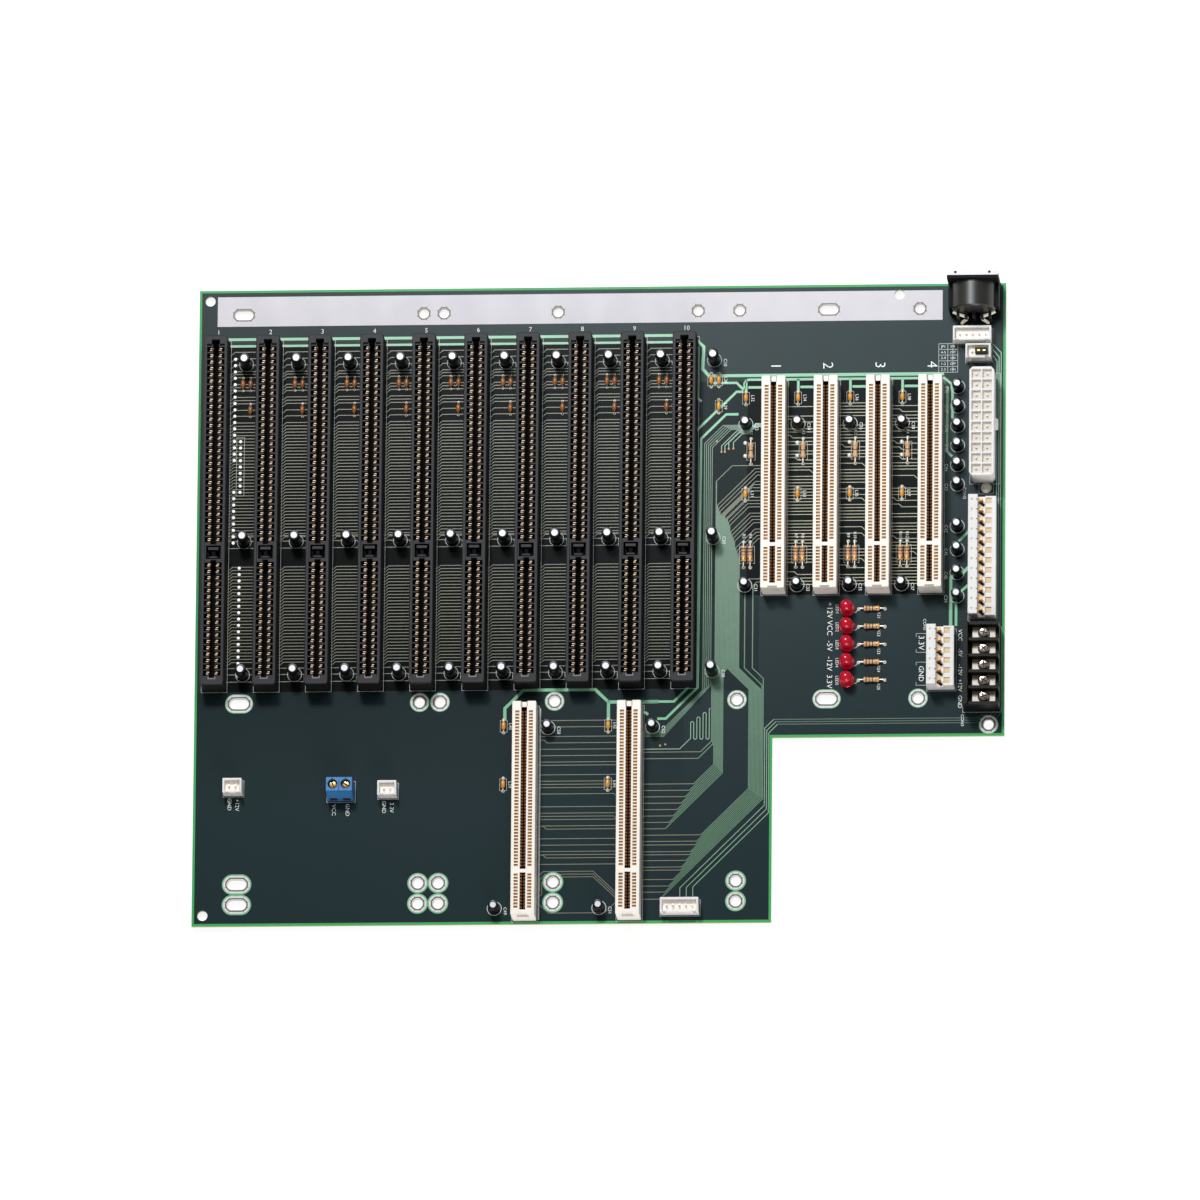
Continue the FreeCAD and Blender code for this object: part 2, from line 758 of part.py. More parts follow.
# Twenty way power socket: two columns of square cells, with a latch nub on the outer side.
supply = start_node("supply_socket")
shell = draw(supply, "shell")
chamfered(shell, "Dims.supply_width", "Dims.supply_length", "Dims.supply_corner")
pad(supply, shell, "Dims.supply_height")
nub = draw(supply, "nub", "XZ_Plane", "-(Dims.supply_length + Dims.latch_width) / 2")
side = "Dims.supply_width / 2"
polygon(nub, [
    (side, "Dims.latch_foot"),
    (f"{side} + Dims.latch_reach", "Dims.latch_foot"),
    (side, "Dims.latch_foot + Dims.latch_rise"),
])
pad(supply, nub, "Dims.latch_width")
first = "(Dims.supply_length - 9 * Dims.supply_spacing - Dims.supply_cell) / 2"
cells = draw(supply, "cells", lift="Dims.supply_height")
for half in (-0.5, 0.5):
    left = f"{half} * Dims.supply_spacing - Dims.supply_cell / 2"
    rectangle(cells, left, first, "Dims.supply_cell", "Dims.supply_cell")
well = pocket(supply, cells, "Dims.supply_cell_depth")
repeat(supply, well, cells, "9 * Dims.supply_spacing", 10)
supply_at = (from_right("supply_inset"), f"({from_top('supply_drop')} - Dims.supply_length / 2)")
place(supply, *supply_at)


# Power headers with a tall broad locking wall, a row of square posts and a lower guard wall.
def blade_header(label, ways, x, y):
    body = start_node(label)
    length = f"({ways} * Dims.blade_spacing)"
    edge = "-Dims.blade_width / 2"
    side = draw(body, "side", "XZ_Plane", f"-{length} / 2")
    lock = f"{edge} + Dims.blade_lock_wall"
    guard = "Dims.blade_width / 2 - Dims.blade_guard_wall"
    polygon(side, [
        (edge, "0"),
        ("Dims.blade_width / 2", "0"),
        ("Dims.blade_width / 2", "Dims.blade_guard_height"),
        (guard, "Dims.blade_guard_height"),
        (guard, "Dims.blade_base"),
        (lock, "Dims.blade_base"),
        (lock, "Dims.blade_lock_height"),
        (edge, "Dims.blade_lock_height"),
    ])
    pad(body, side, length)
    place(body, x, y)
    middle = f"{x} + (Dims.blade_lock_wall - Dims.blade_guard_wall) / 2"
    posts = [
        box(f"{label}_post_{i + 1}", middle, f"{y} + {i - (ways - 1) / 2} * Dims.blade_spacing",
            "Dims.board_thickness + Dims.blade_base", "Dims.blade_pin", "Dims.blade_pin",
            "Dims.blade_pin_height")
        for i in range(ways)
    ]
    group(f"{label}_posts", posts)


outlet_ways = 12
blade_header("outlet_header", outlet_ways, from_right("outlet_inset"), from_top("outlet_drop"))
outlet_foot = f"({from_top('outlet_drop')} - {outlet_ways} * Dims.blade_spacing / 2)"
blade_header("spare_header", 6, from_right("spare_inset"), from_top("spare_drop"))

# Barrier terminal block: a base with a back wall and fins between the five clamping screws.
barrier = start_node("terminal_block")
run = "(5 * Dims.barrier_spacing + Dims.barrier_wall)"
barrier_left = "-Dims.barrier_width / 2"
base = draw(barrier, "base")
rectangle(base, barrier_left, "0", "Dims.barrier_width", run)
pad(barrier, base, "Dims.barrier_base")
back = draw(barrier, "back", lift="Dims.barrier_base")
rectangle(back, barrier_left, "0", "Dims.barrier_back", run)
pad(barrier, back, "Dims.barrier_height - Dims.barrier_base")
fin = draw(barrier, "fin", lift="Dims.barrier_base")
rectangle(fin, barrier_left, "0", "Dims.barrier_width", "Dims.barrier_wall")
wall = pad(barrier, fin, "Dims.barrier_height - Dims.barrier_base - Dims.barrier_fin_drop")
repeat(barrier, wall, fin, "5 * Dims.barrier_spacing", 6)
barrier_at = (from_right("barrier_inset"), f"({outlet_foot} - Dims.barrier_gap - {run})")
place(barrier, *barrier_at)

bays = [
    f"{barrier_at[1]} + Dims.barrier_wall / 2 + {i + 0.5} * Dims.barrier_spacing" for i in range(5)
]
bay_x = f"{barrier_at[0]} + Dims.barrier_back / 2"
plate_top = "Dims.board_thickness + Dims.barrier_base + Dims.plate_thickness"
plates = []
screws = []
for i, y in enumerate(bays):
    bay = "Dims.barrier_spacing - Dims.barrier_wall - 2 * Dims.plate_clearance"
    plates.append(
        box(f"terminal_plate_{i + 1}", bay_x, y, "Dims.board_thickness + Dims.barrier_base",
            "Dims.plate_length", f"({bay})", "Dims.plate_thickness")
    )
    screws.append(
        can(f"terminal_screw_{i + 1}", bay_x, y, plate_top, "Dims.screw_radius", "Dims.screw_height")
    )
group("terminal_plates", plates)
group("terminal_screws", screws)

# Wire terminal: a sloping front with two wire entries, and a screw at the foot of each well.
wire = start_node("wire_terminal")
wire_width = "(2 * Dims.wire_spacing)"
side = draw(wire, "side", "YZ_Plane", f"-{wire_width} / 2")
front = "-Dims.wire_depth / 2"
polygon(side, [
    (front, "0"),
    ("Dims.wire_depth / 2", "0"),
    ("Dims.wire_depth / 2", "Dims.wire_height"),
    ("Dims.wire_depth / 2 - Dims.wire_top_depth", "Dims.wire_height"),
    (front, "Dims.wire_front_height"),
])
pad(wire, side, wire_width)
well_y = "((Dims.wire_depth - Dims.wire_top_depth) / 2)"
wells = draw(wire, "wells", lift="Dims.wire_height")
for half in (-0.5, 0.5):
    disc(wells, "Dims.wire_well_radius", f"{half} * Dims.wire_spacing", well_y)
pocket(wire, wells, "Dims.wire_well_depth")
entries = draw(wire, "entries", "XZ_Plane", "Dims.wire_depth / 2")
for half in (-0.5, 0.5):
    left = f"{half} * Dims.wire_spacing - Dims.wire_entry_width / 2"
    rectangle(entries, left, "Dims.wire_entry_foot", "Dims.wire_entry_width", "Dims.wire_entry_height")
pocket(wire, entries, "Dims.wire_entry_depth")
place(wire, "Dims.wire_across", "Dims.wire_height_on_board")
well_floor = "Dims.board_thickness + Dims.wire_height - Dims.wire_well_depth"
wire_screws = [
    can(f"wire_screw_{i + 1}", f"Dims.wire_across + {half} * Dims.wire_spacing",
        f"Dims.wire_height_on_board + {well_y}", well_floor,
        "Dims.wire_screw_radius", "Dims.wire_screw_height")
    for i, half in enumerate((-0.5, 0.5))
]
group("wire_terminal_screws", wire_screws)

doc.recompute()
for thing in doc.Objects:
    if "Invalid" in thing.State or "Error" in thing.State:
        raise RuntimeError(f"{thing.Label} did not build: {thing.State}")
for node in nodes:
    if node.Shape.isNull() or not node.Shape.isValid():
        raise RuntimeError(f"{node.Label} has no valid shape")
    node.Shape.exportStep(f"parts/{node.Label}.step")
print(len(nodes), "nodes written")
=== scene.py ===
import math
import random

import bmesh
import bpy
from mathutils import Matrix, Vector


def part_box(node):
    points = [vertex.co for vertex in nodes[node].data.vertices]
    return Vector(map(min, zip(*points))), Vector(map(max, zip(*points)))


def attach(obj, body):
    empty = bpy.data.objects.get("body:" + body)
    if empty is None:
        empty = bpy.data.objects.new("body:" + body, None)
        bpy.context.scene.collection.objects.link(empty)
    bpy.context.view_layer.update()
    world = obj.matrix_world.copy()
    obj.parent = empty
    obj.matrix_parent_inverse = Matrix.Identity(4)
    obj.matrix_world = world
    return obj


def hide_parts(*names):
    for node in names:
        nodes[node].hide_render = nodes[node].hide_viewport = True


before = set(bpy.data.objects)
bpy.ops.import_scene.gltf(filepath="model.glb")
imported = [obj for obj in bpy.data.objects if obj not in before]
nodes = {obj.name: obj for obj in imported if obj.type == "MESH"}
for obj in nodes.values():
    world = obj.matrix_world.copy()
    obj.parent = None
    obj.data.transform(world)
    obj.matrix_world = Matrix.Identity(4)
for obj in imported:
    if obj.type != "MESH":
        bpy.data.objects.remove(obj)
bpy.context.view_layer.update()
metre = 0.001  # pieces are modelled in millimetres


def corners(node):
    low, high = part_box(node)
    return low / metre, high / metre


_, boardHigh = corners("circuit_board")
boardTop = boardHigh.z


# Finishes

def tone(red, green, blue):
    def linear(value):
        value = value / 255
        return value / 12.92 if value <= 0.04045 else ((value + 0.055) / 1.055) ** 2.4
    return (linear(red), linear(green), linear(blue), 1.0)


class Wire:
    def __init__(self, look, socket):
        self.look = look
        self.socket = socket

    def sum(self, operation, *values):
        return self.look.node("ShaderNodeMath", {"operation": operation}, dict(enumerate(values)))

    def __add__(self, other):
        return self.sum("ADD", self, other)

    def __sub__(self, other):
        return self.sum("SUBTRACT", self, other)

    def __rsub__(self, other):
        return self.sum("SUBTRACT", other, self)

    def __mul__(self, other):
        return self.sum("MULTIPLY", self, other)

    def __gt__(self, other):
        return self.sum("GREATER_THAN", self, other)

    def __lt__(self, other):
        return self.sum("LESS_THAN", self, other)

    __radd__ = __add__
    __rmul__ = __mul__


class Look:
    def __init__(self, name, **fixed):
        self.material = bpy.data.materials.new(name)
        self.material.use_nodes = True
        self.tree = self.material.node_tree
        self.shader = self.tree.nodes["Principled BSDF"]
        self.give(**fixed)

    def put(self, socket, value):
        if isinstance(value, Wire):
            self.tree.links.new(value.socket, socket)
        else:
            socket.default_value = value

    def give(self, **values):
        for name, value in values.items():
            self.put(self.shader.inputs[name.replace("_", " ")], value)

    def node(self, kind, settings, inputs, out=0):
        made = self.tree.nodes.new(kind)
        for name, value in settings.items():
            setattr(made, name, value)
        for place, value in inputs.items():
            self.put(made.inputs[place], value)
        return Wire(self, made.outputs[out])

    def place(self):
        return self.node("ShaderNodeTexCoord", {}, {}, "Object")

    def axes(self):
        spot = self.place()
        return [self.node("ShaderNodeSeparateXYZ", {}, {0: spot}, axis) for axis in "XYZ"]

    def noise(self, scale, detail=3.0):
        return self.node("ShaderNodeTexNoise", {}, {"Vector": self.place(), "Scale": scale, "Detail": detail})

    def mix(self, mask, one, other):
        return self.node("ShaderNodeMix", {"data_type": "RGBA"}, {0: mask, 6: one, 7: other}, 2)

    def bump(self, height, strength, distance):
        return self.node("ShaderNodeBump", {}, {"Height": height, "Strength": strength, "Distance": distance})


# a moulded or coated surface: mottled colour, fine grain and a little uneven gloss
def moulding(name, light, dark, rough, grain=0.12, scale=2600, detail=2.0, patch=120, spread=0.12,
             depth=0.0001, **fixed):
    look = Look(name, **fixed)
    fine = look.noise(scale, detail)
    look.give(Base_Color=look.mix(look.noise(patch), tone(*light), tone(*dark)))
    look.give(Roughness=rough - spread / 2 + spread * fine, Normal=look.bump(fine, grain, depth))
    return look


def metal(name, light, dark, rough, grain=0.1, scale=900):
    return moulding(name, light, dark, rough, grain, scale, 4.0, 180, 0.16, 0.00006, Metallic=1.0)


# true from a depth below the rims of the long slots
def belowRim(look, depth):
    return look.axes()[2] < (corners("isa_slot_01")[1].z - depth) * metre


# the black shells: a mottled grey rim and black below a depth under it, painted shade in the cells and gaps
# and down the side walls
def blackShell():
    s = {"rim": tone(29, 26, 33), "worn": tone(22, 20, 25), "inside": tone(2, 2, 2), "depth": 1.5}
    look = Look("blackMoulding", Specular_IOR_Level=0.25)
    deep = belowRim(look, s["depth"])
    fine = look.noise(2400, 2.0)
    rim = look.mix(look.noise(150), s["rim"], s["worn"])
    look.give(Base_Color=look.mix(deep, rim, s["inside"]), Roughness=0.45 + 0.12 * fine + 0.4 * deep)
    look.give(Normal=look.bump(fine, 0.15, 0.0001))
    return look


# the sprung contacts: near-white tips, a painted highlight, and brown below a depth under the rim, painted
# shade down in the slot
def contactGilt():
    s = {"tip": tone(255, 246, 230), "shade": tone(250, 222, 186), "shadedNeck": tone(150, 86, 46), "depth": 1.3}
    look = Look("giltMetal", Metallic=0.1)
    fine = look.noise(1800, 2.0)
    tip = look.mix(look.noise(900), s["tip"], s["shade"])
    look.give(Base_Color=look.mix(belowRim(look, s["depth"]), tip, s["shadedNeck"]), Roughness=0.26 + 0.1 * fine)
    look.give(Normal=look.bump(fine, 0.05, 0.00006))
    return look


# the board: dark green mask, a bright border round the edge and the laminate's core on the cut sides
def solderMask():
    s = {
        "mask": tone(25, 42, 44), "shade": tone(30, 41, 45), "border": tone(66, 158, 90),
        "core": tone(150, 160, 92), "bare": tone(7, 9, 10), "borderWidth": 0.95, "skin": 0.05,
        "notch": (67.5, -53.7), "slotShadowSlope": 22.2, "slotShadowStart": 1.78, "slotShadowWeight": 0.3,
        "fields": [(-146, 33, -34, 104, 1.0), (57, 131, 3, 88.6, 1.0), (38, 57, 3, 88.6, 0.6),
                   (38, 62, -35, 3, 0.35)],
    }
    look = Look("laminate", Coat_Roughness=0.24, Specular_IOR_Level=0.03)
    x, y, z = look.axes()
    inset = s["borderWidth"] * metre
    notchX, notchY = (side * metre for side in s["notch"])
    sides = x.sum("ABSOLUTE", x) > (boardHigh.x * metre - inset)
    ends = y.sum("ABSOLUTE", y) > (boardHigh.y * metre - inset)
    notch = (x > notchX - inset) * (y < notchY + inset)
    border = x.sum("MAXIMUM", x.sum("MAXIMUM", sides, ends), notch)
    cloudy = look.noise(9, 4.0)
    weave = look.noise(700, 3.0)
    # the mask is darker in the fields of tracks, partly its own colour between the tracks and partly painted
    # shade between the tall slots; below the long slots a painted shadow makes it darker and greyer, fading
    # out down the board
    trackedAndShaded = sum((x > left * metre) * (x < right * metre) * (y > foot * metre) * (y < head * metre) * weight
                  for left, right, foot, head, weight in s["fields"])
    _, right, foot, _, _ = s["fields"][0]
    # a painted shadow below the long slots, full at their feet and gone about 45 mm further down
    slotShadow = look.node("ShaderNodeMath", {"operation": "MULTIPLY_ADD", "use_clamp": True},
                     {0: y, 1: s["slotShadowSlope"], 2: s["slotShadowStart"]})
    trackedAndShaded = trackedAndShaded + s["slotShadowWeight"] * slotShadow * (y < foot * metre) * (x < right * metre)
    mask = look.mix(trackedAndShaded, look.mix(cloudy, s["mask"], s["shade"]), s["bare"])
    face = look.mix(border * (0.8 + 0.3 * weave), mask, s["border"])
    core = (z > s["skin"] * metre) * (z < (boardTop - s["skin"]) * metre)
    look.give(Base_Color=look.mix(core, face, s["core"]), Roughness=0.2 + 0.1 * weave)
    look.give(Coat_Weight=0.14 - 0.12 * trackedAndShaded - 0.14 * core)
    look.give(Normal=look.bump(weave, 0.05, 0.00008))
    return look


laminate = solderMask()
blackMoulding = blackShell()
# pale grey for the bracket on the long slots' feet: a painted highlight
bracketHighlight = moulding("bracketHighlight", (116, 113, 120), (92, 89, 96), 0.45)
# painted shade: dark colour for recesses, holes, hidden contacts and shadows round screw heads
paintedShade = moulding("paintedShade", (40, 34, 28), (24, 20, 17), 0.6)
socketBlack = moulding("socketBlack", (10, 10, 11), (6, 6, 7), 0.6, Specular_IOR_Level=0.1)
greyBarrel = moulding("greyBarrel", (46, 44, 42), (33, 32, 31), 0.36, Specular_IOR_Level=0.45)
blackPlastic = moulding("blackPlastic", (8, 8, 9), (5, 5, 6), 0.45, Specular_IOR_Level=0.16)
ivoryMoulding = moulding("ivoryMoulding", (233, 226, 219), (224, 215, 205), 0.5)
nylon = {"Subsurface_Weight": 0.45, "Subsurface_Radius": (0.004, 0.0036, 0.003), "Subsurface_Scale": 1.0}
whiteMoulding = moulding("whiteMoulding", (221, 217, 216), (210, 206, 205), 0.5, **nylon)
# an emitted glow: painted light that brightens the shaded hollows and thin walls
glow = {"Emission_Color": tone(236, 226, 214), "Emission_Strength": 0.2}
# a lighter, glowing copy of the white moulding for floors inside the hollows: painted light
paintedLitHollow = moulding("paintedLitHollow", (238, 230, 220), (228, 218, 205), 0.55, **nylon, **glow)
# greyer and glowing floors for the socket's wells: painted shade and painted light
cellShadeAndGlow = moulding("cellShadeAndGlow", (200, 190, 181), (186, 175, 165), 0.55, **nylon, **glow)
# beige for the windows and notches of the blade headers: painted shade in the recesses
beigeRecessShade = moulding("beigeRecessShade", (214, 192, 158), (198, 174, 138), 0.55)
# dark brown for the card gaps and cells of the ivory slots: painted shade
slotHollowShade = moulding("slotHollowShade", (76, 50, 34), (52, 33, 21), 0.6)
blueMoulding = moulding("blueMoulding", (50, 120, 178), (38, 104, 162), 0.5)
canSleeve = moulding("canSleeve", (14, 14, 15), (8, 8, 9), 0.3, grain=0.05, Specular_IOR_Level=0.25)
brownBead = moulding("brownBead", (164, 98, 50), (132, 75, 34), 0.3, grain=0.06)
amberBead = moulding("amberBead", (222, 158, 62), (200, 130, 42), 0.28, grain=0.06)
beigeBody = moulding("beigeBody", (206, 164, 122), (190, 146, 104), 0.38, grain=0.06)
blackBand = moulding("blackBand", (26, 22, 20), (20, 18, 16), 0.4)
brownBand = moulding("brownBand", (112, 66, 34), (96, 54, 26), 0.4)
redBand = moulding("redBand", (196, 44, 40), (178, 34, 32), 0.4)
goldBand = metal("goldBand", (190, 140, 62), (172, 122, 48), 0.35)
# a faint red glow on the lamps' lenses: painted light evening out their shaded side
redLens = moulding("redLens", (172, 5, 33), (150, 3, 26), 0.2, grain=0.03, Coat_Weight=0.2,
                   Emission_Color=tone(196, 6, 46), Emission_Strength=0.2)
tinnedMetal = metal("tinnedMetal", (238, 234, 240), (222, 217, 224), 0.36)
# a faint glow on the bus taps: painted light
tapTin = moulding("tapTin", (246, 246, 246), (230, 230, 232), 0.4,
                  Emission_Color=tone(240, 240, 240), Emission_Strength=0.3)
bareTin = moulding("bareTin", (206, 200, 206), (196, 190, 196), 0.6, Specular_IOR_Level=0.3)
shieldTin = moulding("shieldTin", (226, 223, 228), (212, 208, 214), 0.5, Specular_IOR_Level=0.2)
# a faint glow on the socket's legs: painted light
legTin = moulding("legTin", (250, 244, 232), (228, 220, 204), 0.35,
                  Emission_Color=tone(250, 240, 222), Emission_Strength=0.3)
landTin = moulding("landTin", (214, 210, 208), (190, 186, 184), 0.5, Specular_IOR_Level=0.4)
dullPlate = moulding("dullPlate", (194, 184, 172), (160, 147, 132), 0.34, patch=300, Metallic=0.45)
canTop = moulding("canTop", (198, 196, 201), (172, 170, 176), 0.42, Metallic=0.3)
leadTin = moulding("leadTin", (244, 240, 230), (222, 216, 204), 0.3, Metallic=0.35)
# darker leads for the beads among the long slots: painted shade
shadedLead = moulding("shadedLead", (122, 117, 112), (84, 80, 77), 0.35, Metallic=0.4)
solder = metal("solder", (246, 246, 248), (226, 226, 230), 0.22)
giltMetal = contactGilt()
brassMetal = metal("brassMetal", (222, 178, 112), (196, 146, 84), 0.3)
leafMetal = moulding("leafMetal", (204, 138, 58), (164, 104, 38), 0.5, Specular_IOR_Level=0.2)
postMetal = moulding("postMetal", (226, 168, 92), (178, 120, 56), 0.3, patch=500, Metallic=0.45)
screwSteel = metal("screwSteel", (226, 214, 196), (112, 98, 80), 0.22, grain=0.8, scale=420)
# a darker copy of the contacts' colour for their faces down in the card gaps: painted shade
shadedLeaf = moulding("shadedLeaf", (152, 102, 62), (112, 72, 42), 0.4, Specular_IOR_Level=0.3)
busGreen = moulding("busGreen", (106, 172, 130), (92, 158, 116), 0.3, grain=0.04)
trackGreen = moulding("trackGreen", (71, 110, 81), (57, 94, 68), 0.3, grain=0.04)
trackOlive = moulding("trackOlive", (117, 114, 91), (102, 99, 78), 0.32, grain=0.04)
trackTan = moulding("trackTan", (126, 117, 92), (108, 100, 77), 0.32, grain=0.04)
trackPale = moulding("trackPale", (172, 166, 138), (152, 147, 120), 0.32, grain=0.04)
trackDim = moulding("trackDim", (56, 86, 68), (46, 74, 57), 0.3, grain=0.04)
trackLight = moulding("trackLight", (128, 164, 138), (110, 146, 119), 0.3, grain=0.04)
printInk = moulding("printInk", (248, 248, 246), (228, 230, 229), 0.6, grain=0.1)
dimInk = moulding("dimInk", (190, 192, 192), (166, 169, 169), 0.6, grain=0.1)
tanLine = moulding("tanLine", (112, 98, 74), (88, 77, 57), 0.5)
darkLine = moulding("darkLine", (74, 70, 62), (54, 51, 46), 0.5)
copperVia = moulding("copperVia", (198, 140, 98), (172, 112, 74), 0.4)
print("finishes ready")


# Tools for making pieces

def link(name, data):
    made = bpy.data.objects.new(name, data)
    bpy.context.scene.collection.objects.link(made)
    return made


# a finished piece, in metres and in the shared frame
def settle(bm, name, looks, stands=(), smooth=None, shift=(0, 0, 0)):
    mesh = bpy.data.meshes.new(name)
    bm.to_mesh(mesh)
    mesh.transform(Matrix.Scale(metre, 4) @ Matrix.Translation(shift))
    if smooth:
        mesh.shade_smooth()
        mesh.set_sharp_from_angle(angle=math.radians(smooth))
    for look in looks:
        mesh.materials.append(look.material)
    made = link(name, mesh)
    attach(made, "root")
    if stands:
        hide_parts(*stands)


def block(bm, low, high, taper=1.0):
    low, high = Vector(low), Vector(high)
    size = high - low
    spot = Matrix.Translation((low + high) / 2) @ Matrix.Diagonal((*size, 1))
    made = bmesh.ops.create_cube(bm, size=1, matrix=spot)["verts"]
    if taper != 1.0:  # narrows the foot across the width
        for v in made:
            if v.co.z < (low.z + high.z) / 2:
                v.co.x = (low.x + high.x) / 2 + (v.co.x - (low.x + high.x) / 2) * taper
    return made


def unit(bm):
    mesh = bpy.data.meshes.new("unit")
    bm.to_mesh(mesh)
    bm.free()
    return mesh


def stamp(bm, mesh, places, turn=None):
    for place in places:
        move = Matrix.Translation(place) @ (turn or Matrix.Identity(4))
        mesh.transform(move)
        bm.from_mesh(mesh)
        mesh.transform(move.inverted())


# one shape at many places, as one piece
def scatter(shape, places, name, looks, stands=(), smooth=None):
    bm = bmesh.new()
    stamp(bm, shape, places)
    settle(bm, name, looks, stands, smooth)


# a turned shape: the profile's (radius, height) points spun about an upright axis
def turned(points, steps=24, closed=False):
    bm = bmesh.new()
    ring = [bm.verts.new((radius, 0, height)) for radius, height in points]
    edges = [bm.edges.new(pair) for pair in zip(ring, ring[1:])]
    if closed:
        edges.append(bm.edges.new((ring[-1], ring[0])))
    bmesh.ops.spin(
        bm, geom=ring + edges, cent=(0, 0, 0), axis=(0, 0, 1), angle=2 * math.pi, steps=steps, use_merge=True,
    )
    bmesh.ops.remove_doubles(bm, verts=bm.verts, dist=0.0005)
    bmesh.ops.recalc_face_normals(bm, faces=bm.faces)
    return bm


# lays an upright turned shape along y
def laid(bm):
    bmesh.ops.rotate(bm, cent=(0, 0, 0), matrix=Matrix.Rotation(-math.pi / 2, 3, "X"), verts=bm.verts)
    return bm


# faces whose middle lies between two heights take a material's number
def paint(bm, low, high, index):
    for face in bm.faces:
        if low < face.calc_center_median().z < high:
            face.material_index = index


def carve(body, cutter, inside=0):
    for face in cutter.faces:
        face.material_index = inside
    parts = []
    for bm in (body, cutter):
        mesh = unit(bm)
        mesh.materials.append(laminate.material)
        mesh.materials.append(blackMoulding.material)
        parts.append(link("carving", mesh))
    change = parts[0].modifiers.new("carve", "BOOLEAN")
    change.object = parts[1]
    change.operation = "DIFFERENCE"
    change.solver = "EXACT"
    change.material_mode = "INDEX"
    carved = bmesh.new()
    carved.from_object(parts[0], bpy.context.evaluated_depsgraph_get())
    for part in parts:
        mesh = part.data
        bpy.data.objects.remove(part)
        bpy.data.meshes.remove(mesh)
    return carved


def extrude(bm, faces, way):
    grown = bmesh.ops.extrude_face_region(bm, geom=faces)["geom"]
    bmesh.ops.translate(bm, vec=way, verts=[v for v in grown if isinstance(v, bmesh.types.BMVert)])
    bmesh.ops.recalc_face_normals(bm, faces=bm.faces)


def housing(width, length, height, corner, edge):
    bm = bmesh.new()
    bmesh.ops.create_grid(bm, x_segments=1, y_segments=1, size=0.5)
    bmesh.ops.scale(bm, vec=(width, length, 1), verts=bm.verts)
    bmesh.ops.translate(bm, vec=(0, length / 2, 0), verts=bm.verts)
    bmesh.ops.bevel(
        bm, geom=bm.verts[:], offset=corner, segments=4, affect="VERTICES", profile=0.5, material=-1,
    )
    extrude(bm, bm.faces[:], (0, 0, height))
    crown = [e for e in bm.edges if all(v.co.z > height - 0.001 for v in e.verts)]
    bmesh.ops.bevel(bm, geom=crown, offset=edge, segments=2, affect="EDGES", profile=0.5, material=-1)
    return bm


# a bent strip: a small rectangle drawn along points in the across-height plane
def strip(points, widths, thickness):
    bm = bmesh.new()
    first = Vector((points[0][0], 0, points[0][1]))
    verts = block(bm, (-thickness / 2, -0.5, -0.01), (thickness / 2, 0.5, 0))
    bmesh.ops.scale(bm, vec=(1, widths[0], 1), verts=verts)
    bmesh.ops.translate(bm, vec=first, verts=verts)
    end = max(bm.faces, key=lambda f: f.calc_center_median().z)
    for (x, z), width, last in zip(points[1:], widths[1:], widths):
        grown = bmesh.ops.extrude_discrete_faces(bm, faces=[end])["faces"]
        end = grown[0]
        middle = end.calc_center_median()
        bmesh.ops.scale(bm, vec=(1, width / last, 1), verts=end.verts)
        bmesh.ops.translate(bm, vec=Vector((x, 0, z)) - middle, verts=end.verts)
    return bm


def trace(curve, points, closed=False, kind="POLY"):
    spline = curve.splines.new(kind)
    spline.points.add(len(points) - 1)
    for point, spot in zip(spline.points, points):
        point.co = (*spot, 1)
    spline.use_cyclic_u = closed
    return spline


# a curve or words as a mesh
def meshed(data):
    drawn = link("drawn", data)
    bpy.context.view_layer.update()
    mesh = bpy.data.meshes.new_from_object(drawn.evaluated_get(bpy.context.evaluated_depsgraph_get()))
    bpy.data.objects.remove(drawn)
    return mesh


# flat ribbons laid on the board: copper tracks under the mask, and print
def ribbons(name, routes, look, lift=boardTop, thickness=0.03):
    bm = bmesh.new()
    for width in sorted({route[0] for route in routes}):
        section = bpy.data.curves.new("section", "CURVE")
        section.dimensions = "2D"
        half = width / 2
        trace(section, [(-half, 0, 0), (half, 0, 0), (half, thickness, 0), (-half, thickness, 0)], True)
        line = bpy.data.curves.new("line", "CURVE")
        line.dimensions = "3D"
        line.twist_mode = "Z_UP"
        line.bevel_mode = "OBJECT"
        line.bevel_object = link("section", section)
        line.use_fill_caps = True
        for _, points, *closed in (route for route in routes if route[0] == width):
            trace(line, [(x, y, lift) for x, y in points], bool(closed))
        mesh = meshed(line)
        bm.from_mesh(mesh)
        bpy.data.objects.remove(line.bevel_object)
        bpy.data.meshes.remove(mesh)
    bmesh.ops.recalc_face_normals(bm, faces=bm.faces)
    for face in bm.faces:
        face.material_index = 0
        face.smooth = False
    settle(bm, name, [look])


# Card slots: what both kinds share
def ways(s):
    low = [s["firstWay"] + i * s["pitch"] for i in range(s["lowerWays"])]
    return low + [low[-1] + s["keyStep"] + i * s["pitch"] for i in range(s["upperWays"])]


def cutGaps(body, s, runs, floor, top, inside=0):
    gaps = bmesh.new()
    for start, end in runs:
        block(gaps, (-s["gap"] / 2, start, floor - s["gapDepth"]), (s["gap"] / 2, end, top))
    return carve(body, gaps, inside)


def addCells(cells, s, low, high):
    for way in ways(s):
        for side in (-1, 1):
            left, right = sorted((side * s["cellInner"], side * s["cellOuter"]))
            block(cells, (left, way - s["cell"] / 2, low), (right, way + s["cell"] / 2, high))


